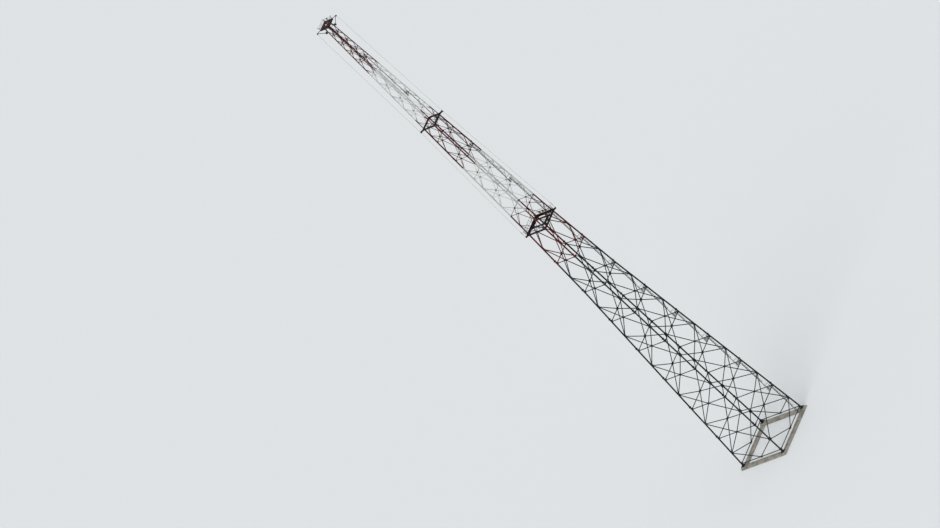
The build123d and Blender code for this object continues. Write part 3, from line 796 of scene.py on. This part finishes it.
def handrail(outer, deck, height, foot, posts, tube, toe):
    """The rail round a square, outside its edge: two level tubes, posts that swell to knuckles round them, a
    pad with four bolts at each post's foot, and a toe board where there is one.
    """
    radius, middle, depth = tube / 2, outer + tube / 2, deck - foot
    levels = deck + np.array([height - radius, (height - tube) / 2])
    feet = points_at(middle, np.linspace(RAIL_POST_INSET - outer, outer - RAIL_POST_INSET, posts), foot)
    post = POST_RADIUS * radius
    steps = [(0, post)]
    for level in levels[::-1] - foot:
        steps += [(level - KNUCKLE_UNDER * radius, post), (level - radius, radius),
                  (level + KNUCKLE_OVER * radius, radius)]
    pads = feet + (PAD_THICKNESS / 2 - radius) * OUT
    holes = [feet + (PAD_BOLT_OUT - radius, hand * PAD_BOLT_SIDE * tube, share * depth)
             for share in PAD_BOLT_LEVELS for hand in HANDS]
    grids = [
        bars((middle, -outer, levels), (middle, outer + tube, levels), circle(RAIL_SIDES) * radius),
        revolved(feet, steps, POST_SIDES),
        carried(pads, pads + depth * UP, OUT, rectangle(PAD_WIDTH * tube, PAD_THICKNESS), PAD_ENDS),
        bolts(holes, OUT, PAD_BOLT_RADIUS * tube, PAD_BOLT_REACH),
    ]
    if toe:
        place, level = outer + toe[0] / 2, deck + toe[1] / 2
        grids.append(bars((place, -outer, level), (place, outer, level), rectangle(*toe)))
    return all_quarters(grids)


def upright(shape):
    """A flat shape's points stood upright, as (x, 0, z)."""
    return np.insert(np.asarray(shape, float), 1, 0, axis=1)


def cable_box(middle, outer, deck, drop, size):
    """A steel box inside the north rail, with an overlapping lid and a conduit that drops to the deck."""
    width, thick, tall = size
    centre = np.array([middle, outer - thick, deck + drop + tall / 2])
    foot = centre - (tall / 2 - CONDUIT_LAP) * UP
    lap, lid_thickness, stand = BOX_LID
    outline, lid = (centre + upright(rectangle(width + more, tall + more)) for more in (0, lap))
    return [plates(outline, ACROSS, thick), plates(lid - (thick / 2 + stand) * ACROSS, ACROSS, lid_thickness),
            carried(foot, foot - (drop + CONDUIT_LAP) * UP, OUT, circle(CONDUIT_SIDES) * CONDUIT_RADIUS)]


rails = handrail(platform_outer, platform_top, RAIL_HEIGHT, platform_low, RAIL_POSTS, RAIL_TUBE, TOE_BOARD)
for middle in PLATFORM_BOX_PLACES:
    rails += cable_box(middle, platform_outer, platform_top, PLATFORM_BOX_DROP, PLATFORM_BOX)
piece("platform_handrail", rails, deck_paint, "deck_steel", "platform_rail")


# Collar ring: channel beams round the legs with a channel arm at each corner, tied by beams across the
# corners that lie on the bracing. Thick plates fold the corners together.
COLLAR_BEAM = (0.010, 0.034)
COLLAR_CORNER = (0.052, 0.012)
COLLAR_RIBS = (5, 0.027)
COLLAR_BOLT = (0.0015, 0.0046)
COLLAR_ARM = 0.292
BRACE = (0.008, 0.011)
BRACE_PLACE = 0.126

collar_low, collar_top = (corner[2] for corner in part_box("collar_ring"))
collar_outer = half(collar_low) + LEG_RADII[1] + FIT + COLLAR_BEAM[0]
beams = beam_ring(collar_outer, collar_low, COLLAR_BEAM, COLLAR_ARM, COLLAR_CORNER, COLLAR_RIBS, COLLAR_BOLT)
# A beam across the corner runs from the middle of one ring beam to the middle of the next
reach, level = collar_outer - COLLAR_BEAM[0] / 2, collar_top - BRACE[1] / 2
meets = BRACE_PLACE * ROOT_2 - reach
beams += all_quarters([bars((reach, meets, level), (meets, reach, level), i_section(*BRACE))])
piece("collar_beams", beams, deck_paint, "deck_steel", "collar_ring")


# Head: a chequered steel deck with a hatch, on channel beams, and four arms with struts under its corners.
# Each arm carries a sheave at its tip and another at the strut's foot.
DECK_OUTER = 0.116
# The deck plate's and the hatch coaming's thickness and chamfer
DECK_PLATE = (0.005, 0.0006)
COAMING = (0.0015, 0.0004)
COAMING_WIDTH = 0.003
HATCH_HALF = 0.031
DECK_BEAM = (0.008, 0.022)
DECK_BOLT = (0.0013, 0.0036)
DECK_BOLT_PLACES = np.arange(-3, 4) * 0.03
# Two square bearers under the deck: their size, how far outside the hatch's edge they lie, and their gap
BEARER, BEARER_PLACE, BEARER_GAP = 0.006, 0.005, 0.0001
HEAD_ARM = 0.256
HEAD_ARM_DEPTH = 0.009
# The arms start this far out from the leg's centre line
ARM_ROOT = 0.006
STRUT_DROP = 0.126
STRUT_FOOT = 0.122
STRUT_WIDTH = 0.008
# How far in from the arm's tip and from the bracket's end the strut's ends are, and the sheaves' pins
STRUT_INSETS = (0.018, 0.006)
SHEAVE_INSETS = (0.0125, 0.005)
# Gusset plates at the strut's tip and foot: their size, and corners and bolts as (x, z) shares of it
GUSSET_SHAPES = (
    (0.013, ((0.8, 0.45), (-0.9, 0.45), (-0.9, -0.5), (-0.3, -0.9), (0.8, -0.5)),
     ((-0.5, 0.2), (0.4, 0.2), (0.0, -0.5))),
    (0.025, ((-0.9, -0.45), (0.8, -0.45), (0.8, 0.2), (0.1, 0.9), (-0.9, 0.9)),
     ((-0.5, -0.2), (0.4, -0.2), (0.0, 0.5))),
)
GUSSET_BOLT = (0.0015, 0.0140)
GUSSET_GAP, CHEEK_GAP = 0.0052, 0.0034
THIN_PLATE = 0.0014
# A sheave's profile along its pin, the corners of its cheek plates, and its pin
SHEAVE = ((-0.0022, 0.0108), (-0.0018, 0.012), (-0.0006, 0.00864), (0.0006, 0.00864), (0.0018, 0.012),
          (0.0022, 0.0108))
CHEEK = ((-0.007, 0.013), (0.007, 0.013), (0.0045, -0.004), (-0.0045, -0.004))
SHEAVE_PIN = (0.0018, 0.0110)
SHEAVE_SIDES = 16
SHEAVE_DROP = 0.010
HEAD_RAIL_TUBE = 0.004
HEAD_RAIL_POSTS = 3
HEAD_RAIL_HEIGHT = 0.05
HEAD_BOX = (0.022, 0.010, 0.026)
HEAD_BOX_DROP = 0.022

chequer, tree, place = material("painted_chequer_plate")
# Rolled chequer plate under deck paint: raised squares of 3 mm, with painted shade darkening the paint
# between them. The dark paint is worn through to the red primer where boots have walked round the hatch, and
# is whole near the edges.
slanted = add(tree, "Mapping", {
    "Vector": place, "Rotation": (0, 0, math.radians(45)), "Scale": (330.0, 330.0, 330.0)})
lozenges = add(tree, "TexChecker", {
    "Vector": slanted, "Scale": 1.0, "Color1": (1, 1, 1, 1), "Color2": linear("#A8A8A8")})
wear = add(tree, "TexNoise", {"Vector": place, "Scale": 30.0, "Detail": 6.0})
tone = add(tree, "ValToRGB", {0: wear}, stops=((0.35, "#1E0608"), (0.7, "#331112")))
level_place = add(tree, "VectorMath", {0: place, 1: (1.0, 1.0, 0.0)}, operation="MULTIPLY")
from_hatch = add(tree, "VectorMath", {0: level_place}, operation="LENGTH").outputs["Value"]
trodden = add(tree, "Math", {0: wear, 1: -0.2, 2: from_hatch}, operation="MULTIPLY_ADD")
worn = add(tree, "MapRange", {0: trodden, 1: -0.04, 2: -0.02, 3: 0.85, 4: 0.0})
walked = add(tree, "Mix", {0: worn, 6: tone, 7: linear("#5E1218")}, data_type="RGBA").outputs[2]
# Painted shade: the paint between the raised squares is multiplied by the darker checker tone
painted_shade_between_squares = add(tree, "Mix", {0: 1.0, 6: walked, 7: lozenges}, data_type="RGBA", blend_type="MULTIPLY")
bump = add(tree, "Bump", {"Height": lozenges.outputs[1], "Strength": 0.8, "Distance": 0.0006})
shader = add(tree, "BsdfPrincipled", {
    "Base Color": painted_shade_between_squares.outputs[2], "Roughness": 0.55, "Normal": bump,
    "Specular IOR Level": CHALKY_SPECULAR})
add(tree, "OutputMaterial", {"Surface": shader})


def plate_ring(outer, inner, low, thickness, edge):
    """A flat square ring with mitred corners and chamfered edges, apart from the lowest inner one."""
    high = low + thickness
    return mitred_ring([
        (inner, low), (inner, high - edge), (inner + edge, high), (outer - edge, high), (outer, high - edge),
        (outer, low + edge), (outer - edge, low), (inner + edge, low),
    ])


def plate_pair(outline, gap, thickness):
    """Two upright plates of the outline, as far as the gap to either side of it."""
    return [plates(outline + hand * gap * ACROSS, ACROSS, thickness) for hand in HANDS]


deck_top = head_level + DECK_PLATE[0]
piece("head_deck_plate", [
    plate_ring(DECK_OUTER, HATCH_HALF, head_level, *DECK_PLATE),
    plate_ring(HATCH_HALF + COAMING_WIDTH, HATCH_HALF, deck_top, *COAMING),
], chequer, "deck_steel", "head_deck")

# One corner's arm, bracket and strut, laid out along +X
arm_low, bracket_top = head_level - HEAD_ARM_DEPTH, head_level - STRUT_DROP
tip, foot = points_at(np.subtract((HEAD_ARM, STRUT_FOOT), STRUT_INSETS), 0, (arm_low, bracket_top))
arm = [carried(foot, tip, ACROSS, rectangle(STRUT_WIDTH, STRUT_WIDTH))]
for end, top in ((HEAD_ARM, head_level), (STRUT_FOOT, bracket_top)):
    root = half(top - HEAD_ARM_DEPTH / 2) * ROOT_2 + ARM_ROOT
    arm.append(corner_arm(root, end, top - HEAD_ARM_DEPTH, HEAD_ARM_DEPTH))
for centre, (size, corners, holes) in zip((tip, foot), GUSSET_SHAPES):
    arm += plate_pair(centre + size * upright(corners), GUSSET_GAP, THIN_PLATE)
    arm.append(bolts(centre + size * upright(holes), ACROSS, *GUSSET_BOLT))
# A sheave between two cheek plates hangs under each end
levels = np.array([arm_low, bracket_top - HEAD_ARM_DEPTH]) - SHEAVE_DROP
for centre in points_at(np.subtract((HEAD_ARM, STRUT_FOOT), SHEAVE_INSETS), 0, levels):
    arm += plate_pair(centre + upright(CHEEK), CHEEK_GAP, THIN_PLATE)
    arm += [revolved(centre, SHEAVE, SHEAVE_SIDES, ACROSS, UP), bolts(centre, ACROSS, *SHEAVE_PIN)]
heads = points_at(DECK_OUTER - RIB_GAP, DECK_BOLT_PLACES, head_level - DECK_BEAM[1] / 2)
# Two bearers under the deck carry the hatch's edges
places, level = HANDS * (HATCH_HALF + BEARER_PLACE), head_level - BEARER / 2 - BEARER_GAP
reach = DECK_OUTER - DECK_BEAM[0] / 2
piece("head_beams_and_arms", [
    *square_frame(DECK_OUTER, head_level - DECK_BEAM[1], *DECK_BEAM),
    *all_quarters(arm, TO_CORNER), *all_quarters([bolts(heads, OUT, *DECK_BOLT)]),
    bars((places, -reach, level), (places, reach, level), rectangle(BEARER, BEARER)),
], deck_paint, "deck_steel", "head_arms")

rails = handrail(DECK_OUTER, deck_top, HEAD_RAIL_HEIGHT, head_level - DECK_BEAM[1], HEAD_RAIL_POSTS,
                 HEAD_RAIL_TUBE, None)
rails += cable_box(0, DECK_OUTER, deck_top, HEAD_BOX_DROP, HEAD_BOX)
piece("head_handrail", rails, deck_paint, "deck_steel", "head_rail")


# Obstruction lamps on two corners of the head's rail: a cast base, and a ribbed lens of pressed red glass
# with a domed crown, clamped by a ring with three screws.
LAMP_BASE = ((0, 0.0045), (0.0015, 0.0045), (0.002, 0.0036), (0.0036, 0.0036), (0.0042, 0.0065),
             (0.0062, 0.0065), (0.0066, 0.0058))
LENS_FOOT = (0.0058, 0.0052)
LENS_RIB = ((0.0062, 0.0054), (0.0067, 0.0061), (0.0074, 0.0061), (0.0079, 0.0054))
LENS_RIBS = 4
LENS_RIB_PITCH = 0.0019
# The dome: its foot's height, its radius, and the shares of a quarter turn at its steps
DOME_FOOT, DOME_RADIUS = 0.0141, 0.0054
DOME_STEPS = np.linspace(0, 0.94, 5)
CROWN_RADIUS = 0.0002
LAMP_SIDES = 20
LAMP_SCREW = (0.0008, 0.0036)
LAMP_SCREWS = 3
LAMP_SCREW_RING, LAMP_SCREW_RISE = 0.006, 0.0055


def glassy(name, scale, stops, dulled, settings):
    """A mottled glossy material. One noise, of so many lumps to the metre, gives its tone and where dirt
    makes it as rough as dulled. The settings are for the shader.
    """
    made, tree, place = material(name)
    mottle = add(tree, "TexNoise", {"Vector": place, "Scale": scale, "Detail": 4.0})
    tone = add(tree, "ValToRGB", {0: mottle}, stops=stops)
    dirt = add(tree, "MapRange", {0: mottle, 1: 0.4, 2: 0.7, 3: 0.08, 4: dulled})
    shader = add(tree, "BsdfPrincipled", {"Base Color": tone, "Roughness": dirt, **settings})
    add(tree, "OutputMaterial", {"Surface": shader})
    return made


# Pressed glass coloured right through: deep red, glossy, with flow lines and dust that dulls it in patches
red_glass = glassy("pressed_red_glass", 220.0, ((0.4, "#7A0C0A"), (0.75, "#96352C")), 0.35,
                   {"IOR": 1.52, "Transmission Weight": 0.25})

lamp_low, lamp_high = (corner[2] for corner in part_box("obstruction_lamps"))
lamps = points_at(*(HANDS[::-1] * (DECK_OUTER + HEAD_RAIL_TUBE / 2),) * 2, lamp_low)
crown = lamp_high - lamp_low
angles = DOME_STEPS * np.pi / 2
dome = np.stack((DOME_FOOT + (crown - DOME_FOOT) * np.sin(angles), DOME_RADIUS * np.cos(angles)), axis=-1)
ribs = [np.array(LENS_RIB) + (rib * LENS_RIB_PITCH, 0) for rib in range(LENS_RIBS)]
lens_profile = np.concatenate(([LENS_FOOT], *ribs, dome, [(crown, CROWN_RADIUS)]))
screws = lamps[:, None] + points_at(*(circle(LAMP_SCREWS) * LAMP_SCREW_RING).T, LAMP_SCREW_RISE)
piece("lamp_lenses", [revolved(lamps, lens_profile, LAMP_SIDES)], red_glass, "lamp_glass",
      "obstruction_lamps")
piece("lamp_bases", [revolved(lamps, LAMP_BASE, LAMP_SIDES), bolts(screws, UP, *LAMP_SCREW)], galvanised,
      "deck_steel")


# Ladders: flights in the north-east corner, each with round rungs let into two flat stiles, held to the leg
# by brackets. Below the collar each has a safety cage of hoops and straps on the leg's side, and above it
# the narrow mast is cage enough.
FLIGHT_PANELS = 8 * (1,) + (2, 2, 2, 2, 3)
LADDER_SETBACK = 0.05
HATCH_SETBACK = 0.0265
LADDER_START = 0.03
LADDER_LIFT = 0.0015
LADDER_HALF = 0.0205
STILE = (0.002, 0.008)
RUNG_RADIUS = 0.0012
RUNG_SIDES = 6
RUNG_PITCH = 0.03
# The last rung and the first and last brackets keep these distances from the flight's ends
RUNG_CLEAR = 0.008
BRACKET_CLEAR = (0.1, 0.02)
HANDHOLD = 0.06
CAGE_DEPTHS = (0.029, 0.031, None)
HOOP_START = 0.2
HOOP_PITCH = 0.06
HOOP_BAND = (0.0012, 0.004)
HOOP_STEPS = 9
STRAP = (0.0025, 0.0008)
STRAP_ANGLES = np.radians([-62, -31, 0, 31, 62])
# The straps lie inside the hoops' outline, which is the cage's depth and the stiles' place, by so much
STRAP_INSETS = (0.0018, -0.0008)
BRACKET = (0.0012, 0.0035)
BRACKET_PITCH = 0.4
# A bracket's two ends, as shares of the ladder's half width, and how deep it goes into the leg
BRACKET_ENDS = (1.04, 0.3)
BRACKET_SINK = 0.004

ladder_zinc = weathered_paint("dulled_zinc_on_ladder", (("#2C3133", "#474C4E"),))


def ladder(low, high, place, depth):
    """One flight between two heights, at its place on +X. Each hoop of the cage is half an ellipse from
    stile to stile: its depth times the cosine, and its half width times the sine. No depth means no cage.
    """
    hands = HANDS * LADDER_HALF
    rungs = np.arange(low + RUNG_PITCH / 2, high - RUNG_CLEAR, RUNG_PITCH)
    brackets = np.repeat(np.arange(low + BRACKET_CLEAR[0], high - BRACKET_CLEAR[1], BRACKET_PITCH), 2)
    stiles = np.resize(hands, len(brackets))
    leg_place = half(brackets) * ROOT_2 - BRACKET_SINK
    grids = [
        bars((place, hands, low), (place, hands, high), rectangle(*STILE), OUT),
        bars((place, hands[0], rungs), (place, hands[1], rungs), circle(RUNG_SIDES) * RUNG_RADIUS),
        bars((place, BRACKET_ENDS[0] * stiles, brackets), (leg_place, BRACKET_ENDS[1] * stiles, brackets),
             rectangle(*BRACKET)),
    ]
    if depth:
        thickness, width = HOOP_BAND
        hoops = np.arange(low + HOOP_START, high, HOOP_PITCH)
        angles = np.linspace(-np.pi / 2, np.pi / 2, HOOP_STEPS)[:, None]
        grow = np.array([0, 1, 1, 0]) * thickness
        rise = np.array([1, 1, -1, -1]) * width / 2
        grids.append(points_at(place + (depth - thickness + grow) * np.cos(angles),
                               (LADDER_HALF + STILE[0] + grow) * np.sin(angles), hoops[:, None, None] + rise))
        out, side = np.subtract((depth, LADDER_HALF), STRAP_INSETS)
        out, side = out * np.cos(STRAP_ANGLES), side * np.sin(STRAP_ANGLES)
        grids.append(bars((place + out, side, hoops[0]), (place + out, side, hoops[-1]), rectangle(*STRAP),
                          points_at(out, side, 0)))
    return grids


# Each flight: its first and last ring, and its place on the corner's diagonal. The last ends in the hatch.
stops = np.cumsum((0, *FLIGHT_PANELS))
flights = [*zip(stops, stops[1:], half(rings[stops[1:]]) * ROOT_2 - LADDER_SETBACK),
           (stops[-1], HEAD_RING, (HATCH_HALF - FIT) * ROOT_2 - HATCH_SETBACK)]
for (length, lowest, highest, _), depth in zip(LENGTHS, CAGE_DEPTHS):
    grids = []
    for first, last, place in flights:
        if lowest < last <= highest:
            start = rings[first] + LADDER_LIFT if first else LADDER_START
            grids += ladder(start, rings[last] + HANDHOLD, place, depth)
    piece(f"ladder_flights_{length}", [turned(grid, TO_CORNER) for grid in grids], ladder_zinc,
          "ladder_steel", f"ladder_{length}")


# Ladder landings: a grating across the north-east corner between two flights, in a rim of flat bar on two
# square bearers, with a thin guard rail along its open edge.
LANDING_RIM = (0.0016, 0.003)
LANDING_LIP = 0.012
LANDING_BEARER = 0.005
BEARER_SHARES = np.array([0.25, 0.8])
BEARER_SINK = 0.004
BEARER_CLEAR = 0.002
ROD_RISE = 0.0011
ROD_CLEAR = 0.004
GUARD_RADIUS = 0.0013
GUARD_SIDES = 8
GUARD_HEIGHT = 0.1
GUARD_CLEAR = 0.006


def landing(near, far, point, level):
    """A landing laid out along +X, from its near edge to its far one. It is twice as wide as its distance
    from the point, where the two sides' bars would meet.
    """
    wide, deep = GRATING_BAR
    open_half, far_half = point - near, point - far
    steps = np.arange(near + GRATING_PITCH, far, GRATING_PITCH)
    rows = (np.arange(-20, 20) + 0.5) * GRATING_ROD_PITCH
    rows = rows[np.abs(rows) < open_half - ROD_CLEAR]
    rim_ends = ((near, near, -open_half, open_half), (far, far, -far_half, far_half),
                (near, far, -open_half, -far_half), (near, far, open_half, far_half))
    x_start, x_end, y_start, y_end = np.transpose(rim_ends)
    bearers = near + BEARER_SHARES * (far - near)
    reach = point - bearers - BEARER_CLEAR
    posts = HANDS * (open_half - GUARD_CLEAR)
    rails = level + np.array([0.5, 1.0]) * GUARD_HEIGHT
    round_bar = circle(GUARD_SIDES) * GUARD_RADIUS
    return [
        bars((steps, steps - point, level), (steps, point - steps, level), rectangle(wide, deep - FIT)),
        bars((near, rows, level + ROD_RISE), (np.minimum(far, point - np.abs(rows)), rows, level + ROD_RISE),
             rectangle(wide, wide)),
        bars((x_start, y_start, level), (x_end, y_end, level), rectangle(*LANDING_RIM)),
        bars((bearers, -reach, level - BEARER_SINK), (bearers, reach, level - BEARER_SINK),
             rectangle(LANDING_BEARER, LANDING_BEARER)),
        bars((near, posts, level), (near, posts, rails[1]), round_bar, OUT),
        bars((near, posts[0], rails), (near, posts[1], rails), round_bar),
    ]


grids = []
for (_, ring, far), (_, _, above) in zip(flights, flights[1:]):
    bar_radius = next(radius for (_, _, last, _), radius in zip(LENGTHS, BAR_RADII) if ring <= last)
    grids += landing(above - LANDING_LIP, far, (half(rings[ring]) - bar_radius - FIT) * ROOT_2, rings[ring])
piece("landing_gratings", [turned(grid, TO_CORNER) for grid in grids], ladder_zinc, "ladder_steel",
      "ladder_landings")


# Cage wires: four taut stranded wires, one along each corner, from the head's arms over the collar's arms to
# rod insulators on the platform's arms. Turnbuckles under the insulators draw them tight.
WIRE_RADIUS = 0.0015
WIRE_SIDES, SLEEVE_SIDES = 8, 10
WIRE_LAY = 0.018
SLEEVE = ((0.001, 0.0015), (0.002, 0.0027), (0.02, 0.0027), (0.022, 0.0016))
HEAD_POINT, COLLAR_POINT, PLATFORM_POINT = 0.25, 0.286, 0.3925
JAW = np.array([(-0.006, 0), (0.006, 0), (0.006, 0.009), (-0.006, 0.009)])
JAW_HOLES = np.array([(-0.0038, 0.005), (0.0038, 0.005)])
JAW_BOLT = (0.0012, 0.0105)
JAW_GAP, JAW_THICKNESS = 0.0026, 0.002

stranded, tree, place = material("stranded_galvanised_wire")
# Seven zinc-coated strands laid round each other: dull grey, with slanting grooves a quarter of the lay apart
grooves = add(tree, "TexWave", {"Vector": place, "Scale": 20.0 / WIRE_LAY}, bands_direction="DIAGONAL")
soot = add(tree, "TexNoise", {"Vector": place, "Scale": 12.0, "Detail": 4.0})
tone = add(tree, "ValToRGB", {0: soot}, stops=((0.35, "#5A5E61"), (0.7, "#84888B")))
bump = add(tree, "Bump", {"Height": grooves.outputs[1], "Strength": 0.7, "Distance": 0.0004})
shader = add(tree, "BsdfPrincipled", {"Base Color": tone, "Metallic": 0.8, "Roughness": 0.5, "Normal": bump})
add(tree, "OutputMaterial", {"Surface": shader})

# Each span, laid out over +X, is a wire with a pressed sleeve over both its ends
insulator_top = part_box("wire_insulators")[1][2]
for name, top, bottom, node in (
    ("upper_wires", (HEAD_POINT, 0, arm_low), (COLLAR_POINT, 0, collar_top), "upper_cage_wires"),
    ("lower_wires", (COLLAR_POINT, 0, collar_low), (PLATFORM_POINT, 0, insulator_top), "lower_cage_wires"),
):
    run = unit(np.subtract(bottom, top))
    wire = [carried(top, bottom, ACROSS, circle(WIRE_SIDES) * WIRE_RADIUS),
            *(revolved(end, SLEEVE, SLEEVE_SIDES, way, ACROSS) for end, way in ((top, run), (bottom, -run)))]
    piece(name, all_quarters(wire, TO_CORNER), stranded, "wire", node)

# Clamps hold the wires to the collar's arms: two plates above and two below, drawn together by bolts
clamps = []
for level, way in ((collar_top, 1), (collar_low, -1)):
    centre = np.array([COLLAR_POINT, 0, level])
    clamps += plate_pair(centre + upright(JAW * (1, way)), JAW_GAP, JAW_THICKNESS)
    clamps.append(bolts(centre + upright(JAW_HOLES * (1, way)), ACROSS, *JAW_BOLT))
piece("wire_clamps", all_quarters(clamps, TO_CORNER), galvanised, "wire")


# Insulators: porcelain rods with sheds between two cemented metal caps, each over a turnbuckle and an eye
# plate on the platform's arm.
ROD_LOW, ROD_HIGH = 0.067, 0.128
SHEDS = 6
ROD_END = (0.001, 0.0034)
ROD_SIDES, TURNBUCKLE_SIDES = 16, 12
# One shed's profile: shares of the sheds' pitch, and radii
SHED = ((0.1, 0.0038), (0.3, 0.0070), (0.42, 0.0075), (0.55, 0.0060), (0.9, 0.0040))
CAP = ((0, 0.0030), (0.001, 0.0040), (0.006, 0.0040), (0.007, 0.0034))
CAP_LEVELS = (0.06, 0.128)
TURNBUCKLE = ((0.0, 0.0026), (0.006, 0.0026), (0.0065, 0.0012), (0.018, 0.0012), (0.0185, 0.0025),
              (0.044, 0.0025), (0.0445, 0.0012), (0.0535, 0.0012), (0.054, 0.0025), (0.0602, 0.0025))
EYE_PLATE = ((-0.007, 0), (0.007, 0), (0.004, 0.010), (-0.004, 0.010))
EYE_PLATE_THICKNESS = 0.0022
EYE_BOLT = (0.0014, 0.0095)
EYE_BOLT_RISE = 0.0055
# The turn to the corner brings this facing round to +X
ROUND_FACING = OUT - ACROSS

# Fired porcelain with a grey glaze: glassy and a little mottled, with grime that dulls it in patches
porcelain = glassy("grey_glazed_porcelain", 60.0, ((0.35, "#73868F"), (0.7, "#56676F")), 0.3,
                   {"IOR": 1.54, "Coat Weight": 0.4})

seat = np.array([PLATFORM_POINT, 0, platform_top])
pitch = (ROD_HIGH - ROD_LOW) / SHEDS
sheds = [np.array(SHED) * (pitch, 1) + (ROD_LOW + shed * pitch, 0) for shed in range(SHEDS)]
lap, end_radius = ROD_END
rod = np.concatenate(([(ROD_LOW - lap, end_radius)], *sheds, [(ROD_HIGH + lap, end_radius)]))
rods = all_quarters([revolved(seat, rod, ROD_SIDES, facing=ROUND_FACING)], TO_CORNER)
piece("insulator_rods", rods, porcelain, "porcelain", "wire_insulators")
piece("insulator_fittings", all_quarters([
    *(revolved(seat + level * UP, CAP, ROD_SIDES, facing=ROUND_FACING) for level in CAP_LEVELS),
    revolved(seat, TURNBUCKLE, TURNBUCKLE_SIDES, facing=ROUND_FACING),
    plates(seat + upright(EYE_PLATE), ACROSS, EYE_PLATE_THICKNESS),
    bolts(seat + EYE_BOLT_RISE * UP, ACROSS, *EYE_BOLT),
], TO_CORNER), galvanised, "wire")
